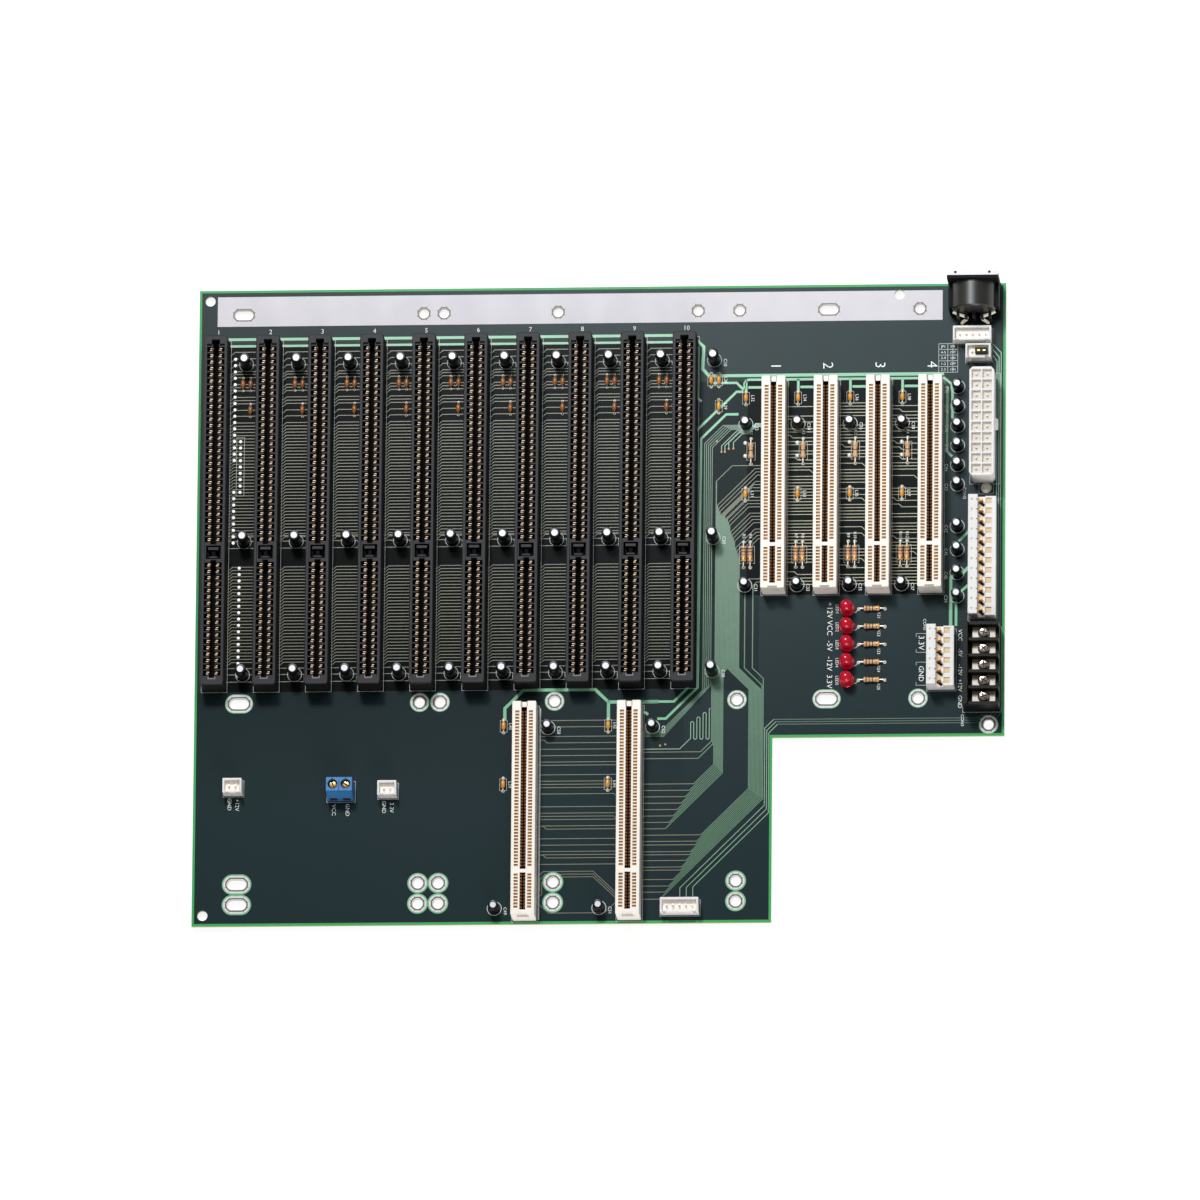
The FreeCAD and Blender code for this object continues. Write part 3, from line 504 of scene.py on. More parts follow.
# Long black card slots
longSlot = {
    "corner": 1.1, "edge": 0.3, "mouthWidth": 6.9, "mouthDepth": 1.1, "endWall": 2.9,
    "lowerRun": 47.2, "keyRun": 6.2, "upperRun": 80.2, "gap": 2.3, "gapDepth": 7.6,
    "pitch": 2.54, "lowerWays": 18, "upperWays": 31, "firstWay": 4.96, "keyStep": 10.16,
    "cell": 2.04, "cellInner": 1.0, "cellOuter": 3.4, "cellDepth": 3.4,
    "keyHalf": 2.9, "keyInset": 0.4, "keyDepth": 3.3, "leadHalf": 1.6, "leadRun": 1.7, "leadDepth": 3.0,
    "ribWidth": 0.28, "ribLength": 2.3, "ribHeight": 0.75, "ribAside": 0.22,
    "bracket": [((-1.5, -0.6), (1.5, -0.25)), ((-1.5, -0.3), (-1.15, 0.5)), ((1.15, -0.3), (1.5, 0.5))],
    "bridgeHalf": 0.7, "bridgeInset": 0.9, "bridgeDepth": 3.2, "bars": [(0.7, 1.3, 1.5), (4.0, 5.0, 2.0)],
    "spring": [(2.5, -3.0), (1.3, -1.4), (0.95, -0.7), (1.25, -0.1), (1.95, 0.12)],
    "springWidths": (0.3, 0.3, 0.3, 0.27, 0.2), "springThickness": 0.22,
    "prongs": [(0, -0.34, 0), (0.22, 0.34, -0.12)],
}


def buildLongSlots():
    s = longSlot
    low, high = corners("isa_slot_01")
    width, length, height = high - low
    foot = s["endWall"]
    key = foot + s["lowerRun"]
    keyEnd = key + s["keyRun"]
    head = keyEnd + s["upperRun"]
    half = s["mouthWidth"] / 2
    floor = height - s["mouthDepth"]
    over = height + 1
    mouth = bmesh.new()
    block(mouth, (-half, foot, floor), (half, head, over))
    body = carve(housing(width, length, height, s["corner"], s["edge"]), mouth)
    body = cutGaps(body, s, ((foot, key), (keyEnd, head)), floor, over)
    cells = bmesh.new()
    block(cells, (-s["keyHalf"], key + s["keyInset"], floor - s["keyDepth"]),
          (s["keyHalf"], keyEnd - s["keyInset"], over))
    block(cells, (-s["leadHalf"], head - 0.4, floor - s["leadDepth"]),
          (s["leadHalf"], head + s["leadRun"], over))
    addCells(cells, s, floor - s["cellDepth"], over)
    body = carve(body, cells)
    # raised lead-in ribs at the upper end of the card gap
    for side in (-1, 1):
        x = side * (s["gap"] / 2 + s["ribAside"])
        block(body, (x - s["ribWidth"] / 2, head - s["ribLength"], floor - 0.1),
              (x + s["ribWidth"] / 2, head - 0.05, floor + s["ribHeight"]))
    # the pale bracket on the foot; its pale colour is a painted highlight
    for (left, start), (right, end) in s["bracket"]:
        for vert in block(body, (left, foot + start, height - 0.4), (right, foot + end, height + 0.02)):
            for face in vert.link_faces:
                face.material_index = 1
    # the bridge over the key, with a bar across each end
    block(body, (-s["bridgeHalf"], key + s["bridgeInset"], floor - s["bridgeDepth"]),
          (s["bridgeHalf"], keyEnd - s["bridgeInset"], floor - 0.7))
    for start, end, half in s["bars"]:
        block(body, (-half, key + start, floor - s["bridgeDepth"]), (half, key + end, floor + 0.4))

    # sprung contacts: up from the foot, in towards the card and out again at the tip
    prong = unit(strip([(x, floor + z) for x, z in s["spring"]], s["springWidths"], s["springThickness"]))
    fork = bmesh.new()
    stamp(fork, prong, s["prongs"])
    tip = unit(fork)
    contacts = bmesh.new()
    for turn in (None, Matrix.Rotation(math.pi, 4, "Z")):
        stamp(contacts, tip, [(0, way, 0) for way in ways(s)], turn)
    bmesh.ops.recalc_face_normals(contacts, faces=contacts.faces)
    for i in range(10):
        node = f"isa_slot_{i + 1:02d}"
        at, _ = corners(node)
        shift = (at.x + width / 2, at.y, at.z)
        settle(body, f"long_slot_shell_{i + 1:02d}", [blackMoulding, bracketHighlight], (node,),
               shift=shift)
        settle(contacts, f"long_slot_contacts_{i + 1:02d}", [giltMetal], shift=shift)
    print("long slots built")


# Short ivory card slots
shortSlot = {
    "corner": 0.5, "edge": 0.22, "endWall": 2.0, "lowerRun": 14.7, "keyRun": 1.4, "upperRun": 64.7,
    "gap": 2.1, "gapDepth": 8.0, "mouthWidth": 2.5, "mouthDepth": 0.4,
    "pitch": 1.27, "lowerWays": 11, "upperWays": 49, "firstWay": 3.1, "keyStep": 3.81,
    "cell": 0.86, "cellInner": 1.82, "cellOuter": 3.44, "cellDepth": 1.6,
    "notchTop": 3.0, "notchFoot": 1.6, "notchDepth": 2.0,
    "recessTop": 3.6, "recessFoot": 5.2, "recessHeight": 4.4, "recessDepth": 0.8,
    "leafInner": 1.88, "leafOuter": 3.38, "leafHalf": 0.36, "leafSlope": 0.3,
    "spring": [(1.0, -4), (0.36, -1.4), (0.4, -0.5), (0.86, 0.05)],
    "springWidths": (0.7, 0.7, 0.7, 0.5), "springThickness": 0.26,
}


def buildShortSlots():
    s = shortSlot
    low, high = corners("pci_slot_1")
    width, length, height = high - low
    foot = s["endWall"]
    key = foot + s["lowerRun"]
    head = key + s["keyRun"] + s["upperRun"]
    runs = ((foot, key), (key + s["keyRun"], head))
    floor = height - s["mouthDepth"]
    mouths = bmesh.new()
    for start, end in runs:
        block(mouths, (-s["mouthWidth"] / 2, start, floor),
              (s["mouthWidth"] / 2, end, height + s["mouthDepth"]), s["gap"] / s["mouthWidth"])
    body = carve(housing(width, length, height, s["corner"], s["edge"]), mouths)
    ends = bmesh.new()
    block(ends, (-s["notchTop"] / 2, head - 0.3, height - s["notchDepth"]),
          (s["notchTop"] / 2, length + 1, height + 0.4), s["notchFoot"] / s["notchTop"])
    block(ends, (-s["recessTop"] / 2, -1, height - s["recessHeight"]),
          (s["recessTop"] / 2, s["recessDepth"], height + 0.4), s["recessFoot"] / s["recessTop"])
    # the card gaps and cells take the dark brown, painted shade
    body = cutGaps(carve(body, ends), s, runs, floor, height + 1, 1)
    cells = bmesh.new()
    addCells(cells, s, height - s["cellDepth"], height + 1)
    body = carve(body, cells, 1)

    # a contact's back shows in each window, and its face lines the card gap; the faces take a darker copy of
    # the backs' colour, painted shade
    leaf = bmesh.new()
    block(leaf, (s["leafInner"], -s["leafHalf"], height - s["cellDepth"] - 0.2),
          (s["leafOuter"], s["leafHalf"], height - 0.22))
    for v in leaf.verts:
        if v.co.x > 3 and v.co.z > height - 1:
            v.co.z -= s["leafSlope"]
    for f in leaf.faces:
        f.material_index = 1
    back = unit(leaf)
    face = unit(strip([(x, floor + z) for x, z in s["spring"]], s["springWidths"], s["springThickness"]))
    contacts = bmesh.new()
    for turn in (None, Matrix.Rotation(math.pi, 4, "Z")):
        for part in (back, face):
            stamp(contacts, part, [(0, way, 0) for way in ways(s)], turn)
    bmesh.ops.recalc_face_normals(contacts, faces=contacts.faces)
    for node in [f"pci_slot_{i}" for i in range(1, 5)] + ["host_slot_1", "host_slot_2"]:
        at, _ = corners(node)
        shift = (at.x + width / 2, at.y, at.z)
        name = node.replace("pci_slot", "short_slot")
        settle(body, f"{name}_shell", [ivoryMoulding, slotHollowShade], (node,), shift=shift)
        settle(contacts, f"{name}_contacts", [shadedLeaf, leafMetal], shift=shift)
    print("short slots built")


# Places along the board: long slots, ivory slots and the two lower ones
longStep, longFirst = 20.32, -149.9
longAt = [longFirst + longStep * i for i in range(10)]
shortAt = [67.8 + longStep * i for i in range(4)]
hostAt = [-28.08, 12.56]


# Places of the small parts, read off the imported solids
def islands(node):
    bm = bmesh.new()
    bm.from_mesh(nodes[node].data)
    bmesh.ops.remove_doubles(bm, verts=bm.verts, dist=1e-7)
    boxes = []
    left = set(bm.verts)
    while left:
        group, queue = set(), [left.pop()]
        while queue:
            v = queue.pop()
            group.add(v)
            for e in v.link_edges:
                other = e.other_vert(v)
                if other in left:
                    left.discard(other)
                    queue.append(other)
        low = Vector(min(v.co[i] for v in group) for i in range(3)) / metre
        high = Vector(max(v.co[i] for v in group) for i in range(3)) / metre
        boxes.append((low, high))
    bm.free()
    return sorted(boxes, key=lambda b: (round(b[0].x, 1), round(b[0].y, 1)))


def middle(box):
    return (box[0] + box[1]) / 2


canGroups = ["bus_cans_upper", "bus_cans_middle", "bus_cans_lower", "local_cans", "supply_cans", "host_cans"]
print("nodes", len(nodes))


def buildCans():
    s = {"shoulder": 0.4, "lip": 0.58, "groove": 0.14, "dish": 0.12, "busShare": 0.86}
    for group in canGroups:
        boxes = islands(group)
        height = boxes[0][1].z - boxes[0][0].z
        r = (boxes[0][1].x - boxes[0][0].x) / 2 * (s["busShare"] if "bus" in group else 1)
        lip = s["lip"] * r
        profile = [
            (0, 0), (r - 0.25, 0), (r, 0.25), (r, 1.0), (r - s["groove"], 1.35), (r, 1.7),
            (r, height - s["shoulder"]), (r - 0.1, height - 0.12), (r - s["shoulder"], height),
            (lip + 0.1, height), (lip, height - s["dish"]), (0, height - s["dish"]),
        ]
        can = turned(profile, 28)
        for face in can.faces:
            spot = face.calc_center_median()
            if spot.z > height - 0.14 and math.hypot(spot.x, spot.y) < lip:
                face.material_index = 1
        places = [(middle(b).x, middle(b).y, boardTop) for b in boxes]
        scatter(unit(can), places, f"{group}_dressed", [canSleeve, canTop], (group,), smooth=35)
    print("cans built")


# a round wire along a smooth line
def tube(points, radius):
    line = bpy.data.curves.new("wire", "CURVE")
    line.dimensions = "3D"
    line.bevel_depth = radius
    line.bevel_resolution = 1
    line.use_fill_caps = True
    spline = trace(line, points, kind="NURBS")
    spline.order_u = 3
    spline.use_endpoint_u = True
    spline.resolution_u = 3
    mesh = meshed(line)
    mesh.materials.clear()
    return mesh


joints = []  # places where a lead or pin goes through the board
topPads = [(x - 11.6, y, 0.8) for x in shortAt for y in (63.9, 58.7)]  # lands seen from above


def layAxial(group, profile, looks, reach, bands=(), second=None, lead=leadTin):
    boxes = islands(group)
    size = boxes[0][1] - boxes[0][0]
    along = Matrix.Identity(4) if size.y > size.x else Matrix.Rotation(-math.pi / 2, 4, "Z")
    body = turned(profile, 14)
    for band in bands:
        paint(body, *band)
    shape = unit(laid(body))
    other = shape.copy()
    for face in other.polygons:
        face.material_index = 1
    length = profile[-1][1]
    high = min(size.x, size.y) / 2
    bend = [(length - 0.2, high), (reach - 0.7, high), (reach, high), (reach, high - 0.7), (reach, 0)]
    wire = tube([(0, y, z) for y, z in bend], 0.24)
    bm, wires = bmesh.new(), bmesh.new()
    for box in boxes:
        spot = middle(box)
        stamp(bm, other if second is not None and spot.x > second else shape, [spot], along)
        foot = Vector((spot.x, spot.y, boardTop))
        for turn in (0, math.pi):
            stamp(wires, wire, [foot], along @ Matrix.Rotation(turn, 4, "Z"))
            end = along @ Matrix.Rotation(turn, 4, "Z") @ Vector((0, reach, 0))
            joints.append((spot.x + end.x, spot.y + end.y))
            topPads.append((spot.x + end.x, spot.y + end.y, 0.55 if second and spot.x < second else 0.72))
    settle(bm, f"{group}_dressed", looks, (group,), smooth=50)
    settle(wires, f"{group}_leads", [lead], smooth=60)


def buildAxials():
    s = {
        "bead": [(0, 1.8), (0.3, 1.78), (0.55, 1.45), (0.85, 0.9)], "beadReach": 2.54,
        "body": 1.1, "waist": 0.88, "shoulder": 0.1, "end": 3.1, "reach": 5.08,
        "marks": [-3.1, -2.9, -2.3, -1.75, -1.35, -0.95, -0.55, -0.2,
                  0.2, 0.6, 1.0, 1.35, 1.75, 2.3, 2.9, 3.1],
    }
    # colour bands: where each starts and ends, and its place in the list of looks
    bands = {
        "link_resistors": [(-0.2, 0.2, 1)],
        "select_resistors": [(1.75, 2.3, 2), (0.6, 1.0, 1), (-0.55, -0.2, 3), (-2.3, -1.75, 4)],
        "lamp_resistors": [(-2.3, -1.75, 2), (-0.95, -0.55, 2), (0.2, 0.6, 1), (1.75, 2.3, 4)],
    }
    bead = [(r, -z) for r, z in s["bead"]] + s["bead"][::-1]
    # beads among the long slots take the darker leads, painted shade
    layAxial("bus_beads", bead, [brownBead, amberBead], s["beadReach"], second=longAt[-1],
             lead=shadedLead)
    for group in ("local_beads", "host_beads"):
        layAxial(group, bead, [amberBead], s["beadReach"])

    # dog-bone body with rings at the edges of its colour bands
    def girth(z):
        if abs(z) > 3.05:
            return 0.5
        return s["body"] - s["shoulder"] if abs(z) > 2.8 else s["body"] if abs(z) > 1.7 else s["waist"]
    bone = [(0, -s["end"])] + [(girth(z), z) for z in s["marks"]] + [(0, s["end"])]
    looks = [beigeBody, blackBand, brownBand, redBand, goldBand]
    for group, rings in bands.items():
        layAxial(group, bone, looks, s["reach"], bands=rings)
    print("beads and resistors built")


def buildLamps():
    s = {"flange": 2.9, "flangeHeight": 1.0, "barrel": 2.5, "arcSteps": 8}
    boxes = islands("indicator_lamps")
    height = boxes[0][1].z - boxes[0][0].z
    r = s["barrel"]
    angles = [i * math.pi / 2 / s["arcSteps"] for i in range(s["arcSteps"])]
    arc = [(r * math.cos(a), height - r + r * math.sin(a)) for a in angles]
    profile = [(0, 0), (s["flange"] - 0.15, 0), (s["flange"], 0.15), (s["flange"], s["flangeHeight"] - 0.15)]
    profile += [(s["flange"] - 0.15, s["flangeHeight"]), (r, s["flangeHeight"])] + arc + [(0, height)]
    lens = unit(turned(profile, 32))
    bm = bmesh.new()
    for box in boxes:
        spot = middle(box)
        stamp(bm, lens, [(spot.x, spot.y, boardTop)])
        joints.extend([(spot.x + 1.27, spot.y), (spot.x - 1.27, spot.y)])
    settle(bm, "indicator_lamps_dressed", [redLens], ("indicator_lamps",), smooth=40)
    print("lamps built")


buildLongSlots()
buildShortSlots()
buildCans()
buildAxials()
buildLamps()

# The board's own surface: bare strip, lands, tracks and print
holeRadius = 2.0
roundHoles = [(x, y) for x in (-69.7, -61.8, -17.2, 53.7) for y in (117.1, -38.6, -110.5, -118.6)]
roundHoles += [(37.5, 117.1), (124.0, 117.1), (124.0, -38.6), (151.4, -49.3)]
longHoles = [(-140.1, y) for y in (117.1, -38.6, -110.5, -118.6)] + [(88.5, 117.1), (88.5, -38.6)]
toolingHole = (116.0, 122.8)
bareStrip = {"left": -150.4, "right": 132.8, "low": 112.5, "high": 124.4, "thickness": 0.04}


def onStrip(y):
    return bareStrip["low"] < y < bareStrip["high"]


# pulls the two halves of a ring apart to make it oblong
def stretch(bm, amount):
    for v in bm.verts:
        v.co.x += math.copysign(amount, v.co.x)
    return bm


def buildLands():
    s = {"land": 3.5, "halos": (3.8, 4.04), "lift": 0.04, "oblong": 1.7, "wall": 0.06, "line": 0.02}
    kinds = ((roundHoles, 0), (longHoles, s["oblong"]))
    r = holeRadius
    rise, drop = boardTop + s["lift"], -s["lift"]
    sleeve = [(r - s["wall"], rise), (s["land"], rise), (s["land"], boardTop), (r, boardTop), (r, 0),
              (s["land"], 0), (s["land"], drop), (r - s["wall"], drop)]
    bush = [(r - s["wall"], rise), (r, rise), (r, drop), (r - s["wall"], drop)]
    thick = boardTop + s["line"]
    rings = [[(s["land"], boardTop), (wide, boardTop), (wide, thick), (s["land"], thick)]
             for wide in s["halos"]]
    lands, halos = bmesh.new(), bmesh.new()
    for places, spread in kinds:
        shapes = (unit(stretch(turned(ring, 26, True), spread)) for ring in (sleeve, bush, *rings))
        land, lining, narrow, broad = shapes
        stamp(lands, land, [(x, y, 0) for x, y in places if not onStrip(y)])
        stamp(lands, lining, [(x, y, 0) for x, y in places if onStrip(y)])
        stamp(halos, narrow, [(x, y, 0) for x, y in places if -100 < y < 100])
        stamp(halos, broad, [(x, y, 0) for x, y in places if y < -100])
    settle(lands, "hole_lands", [landTin], smooth=40)
    settle(halos, "hole_halos", [busGreen])

    bare = bmesh.new()
    block(bare, (bareStrip["left"], bareStrip["low"], boardTop - 0.02),
          (bareStrip["right"], bareStrip["high"], boardTop + bareStrip["thickness"]))
    drills = bmesh.new()
    for places, spread in ((roundHoles + [toolingHole], 0), (longHoles, s["oblong"])):
        drill = unit(stretch(turned([(0, -1), (r, -1), (r, 3), (0, 3)], 26), spread))
        stamp(drills, drill, [(x, y, 0) for x, y in places if onStrip(y)])
    bare = carve(bare, drills)
    settle(bare, "bare_strip", [bareTin])

    marks, shades = [], []
    circle = [(math.cos(a * math.pi / 16), math.sin(a * math.pi / 16)) for a in range(32)]
    rays = [(math.cos((a + 0.5) * math.pi / 4), math.sin((a + 0.5) * math.pi / 4)) for a in range(8)]
    for places, spread in kinds:
        for x, y in places:
            ring = 2.3 if onStrip(y) else 2.5
            loop = [(x + ring * c + (math.copysign(spread, c) if abs(c) > 0.01 else 0), y + ring * d)
                    for c, d in circle]
            (marks if onStrip(y) else shades).append((0.5, loop, True))
            for c, d in rays:
                side = x + math.copysign(spread, c)
                marks.append((0.24, [(side + reach * c, y + reach * d) for reach in (ring, ring + 0.7)]))
    lift = boardTop + bareStrip["thickness"]
    ribbons("hole_rings", marks, tanLine, lift=lift, thickness=s["line"])
    ribbons("hole_shades", shades, darkLine, lift=lift, thickness=s["line"])
    print("lands laid")


fineTrack = 0.26
slotSide = {"long": 4.3, "short": 4.4}  # from a slot's middle to where its tracks start
stubVias = [(47.0, 60.4), (48.3, 60.4), (49.8, 61.6), (51.6, 61.7)]


def longGapRows():
    rows = [102.2, 99.6, 97.0, 94.4, 93.3, 92.0, 89.2, 88.0, 86.7, 84.1, 82.8, 81.5, 78.9, 76.5, 73.8]
    rows += [72.5 - 1.27 * i for i in range(36)]
    return rows + [16.0 - 1.27 * i for i in range(31)]


def longTracks():
    routes = []
    side = slotSide["long"]
    for left, right in zip(longAt, longAt[1:]):
        for y in longGapRows():
            step = [(left + side, y - 1.1), (left + 5.4, y - 1.1), (left + 6.5, y), (right - side, y)]
            routes.append((fineTrack, step))
        for y in (28.5, 26.3, 23.5, -24.5, -27.0, -29.9):
            routes.append((fineTrack, [(left + side, y), (right - side, y)]))
    return routes


# rows between two ivory slots: most are straight, some step down where the next row is free
def shortTracks(left, right, top, rows, keep, seed):
    chance = random.Random(seed)
    there = [chance.random() < keep for i in range(rows)] + [True]
    routes = []
    for i in range(rows):
        y = top - 1.27 * i
        if not there[i]:
            continue
        if not there[i + 1] and chance.random() < 0.6:
            turn = left + (right - left) * chance.choice((0.12, 0.3, 0.8))
            routes.append((fineTrack, [(left, y), (turn, y), (turn + 1.1, y - 1.1), (right, y - 1.1)]))
        else:
            routes.append((fineTrack, [(left, y), (right, y)]))
    return routes


# the lines from the first ivory slot down to the lower slots
def trunkTracks():
    routes = []
    thin = 0.32
    edge = shortAt[0] - slotSide["short"]
    hostEdge = hostAt[1] + slotSide["short"]
    leftEnds = [(39.7, -59.2), (38.8, -61.8)] + [(37.2 - 1.57 * i, -71.9 - 2.54 * i) for i in range(8)]
    rightLevels = (-92.2, -94.7, -96.1, -98.8, -100.0, -102.3, -104.9, -106.1, -109.8, -112.4, -114.8, -117.6)
    rightEnds = [(level + 132.4 + 0.87 * i, level) for i, level in enumerate(rightLevels)]
    fan, tails = [], []
    for k in range(22):
        x = 45.1 + 0.48 * k
        y = 54.8 - 1.27 * (k + k // 4)
        slant = 6.1 if k == 0 else min(14.5, max(7.4, 18.1 - 1.2 * k), edge - x)
        path = [(edge, y), (x + slant, y), (x, y - slant)]
        if k >= 20:
            x = (56.5, 59.6)[k - 20]
            y = 9.5 - 1.27 * (k - 20)
            path = [(edge, y), (x + 1.5, y), (x, y - 1.5)]
        fan.append((fineTrack, path))
        path = path[-1:]
        if k < 10:
            down = x - 1.2
            path += [(x, -26.5), (down, -27.7)]
            corner, level = leftEnds[k]
        else:
            down = 58.4 + 0.5 * (k - 10)
            path += [(x, -26.0), (down, -26.0 - (down - x))]
            corner, level = rightEnds[k - 10]
        path += [(down, level + down - corner), (corner, level)]
        routes.append((0.43, path))
        tails.append((fineTrack, [(corner, level), (hostEdge, level)]))
    for m in range(5):  # the band that passes above the wandering line
        x = 40.4 + 0.75 * m
        top = 71.0 - 0.42 * m
        level = -50.9 - 0.52 * m
        path = [(58.0, top), (x + 7.2, top), (x, top - 7.2), (x, level + x - 24.2 + 0.25 * m)]
        routes.append((thin, path + [(24.2 + 0.25 * m, level), (hostEdge, level)]))
    wander = [(hostEdge, -58.0), (31.6, -58.0), (35.8, -53.8)]
    for i in range(7):
        x = 35.8 + 1.2 * i
        head = -47.2 + 0.9 * i
        if i % 2 == 0:
            wander += [(x, head - 0.4), (x + 0.4, head), (x + 0.8, head), (x + 1.2, head - 0.4)]
        else:
            wander += [(x, -53.8), (x + 0.4, -54.2), (x + 0.8, -54.2), (x + 1.2, -53.8)]
    single = [(thin, wander[:-2])]
    for i, (x, y) in enumerate(stubVias):
        level = 68.8 - 0.42 * i
        path = [(x, y), (x, y + 2.4), (x + level - y - 2.4, level), (57.4, level)]
        single.append((thin, path + [(60.2, level + 2.8), (edge, level + 2.8)]))
    return routes, fan, tails, single


# the keyboard's lines, round the right side to the foot of the board
def keyboardTracks():
    upper, lower = [], []
    for i in range(3):
        side = 154.1 + 0.8 * i
        level = -46.6 - 0.95 * i
        drop = 64.6 + 0.8 * i
        foot = 32.1 + 2.5 * i
        upper.append((0.34, [(152.5, 98.1 + 2.2 * i), (side, 95.6 + 1.75 * i), (side, 40.0)]))
        path = [(side, 40.0), (side, -43.5 - 0.95 * i)]
        path += [(side - 2, -45.5 - 0.95 * i), (149.0, -45.5 - 0.95 * i), (147.0, level), (drop + 3.4, level)]
        lower.append((0.36, path))
        path = [(drop + 3.4, level), (drop, level - 3.4), (drop, -80.7 - 1.5 * i)]
        upper.append((0.3, path + [(foot, -113.2 + 0.2 * i), (foot, -118.0)]))
    return upper, lower


def busTracks():
    routes = []
    for left, right in zip(longAt, longAt[1:]):
        routes.append((1.1, [(left + 3, 107.3), (right - 3, 107.3)]))
        routes.append((0.9, [(left + 3, 104.6), (right - 3, 104.6)]))
    routes += [
        (1.3, [(35, 105.2), (37.0, 105.2), (39.8, 102.6), (39.4, 93.7), (41.9, 90.9), (133.5, 90.9)]),
        (1.0, [(55.8, 85.6), (55.8, 87.9), (57.2, 89.2), (133.6, 89.2), (136.8, 86.4), (136.8, 72.9)]),
        (1.0, [(37.3, 102.9), (37.3, 82.3), (39.0, 80.7)]),
        (1.0, [(43.0, 88.0), (52.7, 88.0), (55.4, 85.2)]),
        (1.0, [(55.4, 84.4), (52.7, 84.4), (36.8, 68.6), (36.6, -31.7), (29.2, -39.1), (14, -39.1)]),
        (1.0, [(53.5, 75.4), (48.7, 75.4), (39.0, 65.7), (38.4, -33.6), (26.1, -45.9), (22.8, -45.9)]),
        (1.0, [(19.2, -44.3), (18.4, -43.5), (14, -43.5)]),
        (1.3, [(-36.5, -45.9), (-36.5, -41.3), (-29.3, -34.1), (-1.4, -34.1), (3.8, -39.1), (3.8, -45.9)]),
        (1.3, [(3.4, -39.1), (23.1, -39.1)]),
        (1.0, [(134.8, 85.5), (134.8, 59.7), (136.8, 57.7)]),
        (1.3, [(136.5, -9.8), (136.5, 9.4), (138.9, 11.2), (141.2, 11.2), (143.8, 13.8)]),
        (1.0, [(138.6, -10.0), (138.6, 2.0)]), (1.0, [(139.5, 23.8), (143.6, 27.9)]),
        (1.0, [(140.2, 3.6), (143.4, 6.4)]),
    ]
    for x in shortAt:
        routes.append((1.0, [(x - 11.4, 89.2), (x - 11.4, 83.8)]))
        routes.append((1.0, [(x - 10.6, 86.1), (x - 4.4, 86.1)]))
    return routes


hostRows = [0, 2, 5, 7, 9, 11, 13, 14, 17, 19, 20, 21, 23, 27, 29, 30, 31, 33, 34, 37, 39, 41, 42, 43, 45]


def hostTracks():
    left, right = hostAt[0] + slotSide["short"], hostAt[1] - slotSide["short"]
    routes = []
    for row in hostRows:
        y = -46.3 - 1.27 * row
        path = [(left, y), (right, y)]
        if row % 4 == 1:
            path = [(left, y - 0.9), (left + 0.9, y), (right, y)]
        elif row % 7 == 2:
            path = [(left, y), (right - 2.0, y), (right - 0.9, y - 1.1), (right, y - 1.1)]
        elif row % 9 == 7:
            path = [(left, y + 1.1), (left + 2.6, y + 1.1), (left + 3.7, y), (right, y)]
        routes.append((fineTrack, path))
    for i in range(3):
        x, level = -23.1 + 0.8 * i, -106.3 - 1.1 * i
        path = [(left, -114.4 - 1.2 * i), (x, -113.0 - 1.2 * i), (x, level - 2.1), (x + 2.1, level)]
        routes.append((fineTrack, path + [(-1.6, level), (right, level - 9.3)]))
    routes.append((fineTrack, [(left, -118.2), (-18.8, -122.8), (2.9, -122.8), (right, -117.7)]))
    return routes


def buildTracks():
    upper, lower = keyboardTracks()
    trunk, fan, tails, single = trunkTracks()
    upper += single
    for box in islands("lamp_resistors"):
        x, y = middle(box).x - 5.3, middle(box).y
        upper.append((0.34, [(x, y), (x - 0.7, y - 1.1), (x - 1.9, y - 1.5)]))
    fine = []
    side = slotSide["short"]
    for i, (left, right) in enumerate(zip(shortAt, shortAt[1:])):
        fine += shortTracks(left + side, right - side, 79.5, 58, 0.74, 20 + i)
    ribbons("bus_tracks", busTracks(), busGreen, thickness=0.035)
    for name, routes, look in (
        ("long_gap_tracks", longTracks(), trackOlive), ("trunk_tracks", trunk, trackGreen),
        ("fan_tracks", fan, trackOlive), ("host_tracks", tails, trackTan),
        ("keyboard_tracks", upper, trackLight), ("panel_tracks", lower, trackDim),
        ("host_gap_tracks", hostTracks(), trackOlive), ("short_gap_tracks", fine, trackPale),
    ):
        ribbons(name, routes, look)
    ribbons("underside_tracks", busTracks() + longTracks(), trackGreen, lift=-0.03, thickness=0.05)
    vias = stubVias + [(45.1, 64.7), (24.0, -56.6), (26.0, -56.2)]
    for left, right in zip(longAt, longAt[1:]):
        vias += [(right - 5.6, 107.3), (left + 5.6, 104.6)]
    dot = unit(turned([(0.1, 0), (0.4, 0), (0.4, 0.05), (0.1, 0.05)], 10, True))
    scatter(dot, [(x, y, boardTop) for x, y in vias], "vias", [copperVia])
    # bare lands in the first gap, where the bus could be tapped
    wide = 0.62
    bead = unit(turned([(0, 0), (wide, 0), (0.5, 0.16), (0, 0.24)], 10))
    taps = [(-143.2, 99.4 - 2.54 * i) for i in range(17)] + [(-143.2, 46.0 - 2.54 * i) for i in range(9)]
    taps += [(-140.8, 66.3 - 2.54 * i) for i in range(9)] + [(-140.7, 15.6 - 2.54 * i) for i in range(18)]
    scatter(bead, [(x, y, boardTop) for x, y in taps], "bus_taps", [tapTin], smooth=50)
    bm = bmesh.new()
    for x, y, radius in topPads:
        stamp(bm, bead, [(x, y, boardTop)], Matrix.Diagonal((radius / wide, radius / wide, 1.6, 1)))
    point = unit(turned([(0, 0), (2.1, 0), (1.9, 0.3), (0, 0.7)], 24))
    stamp(bm, point, [(150.1, 45.0, boardTop)])
    settle(bm, "top_solder", [leadTin], smooth=50)
    print("tracks laid")


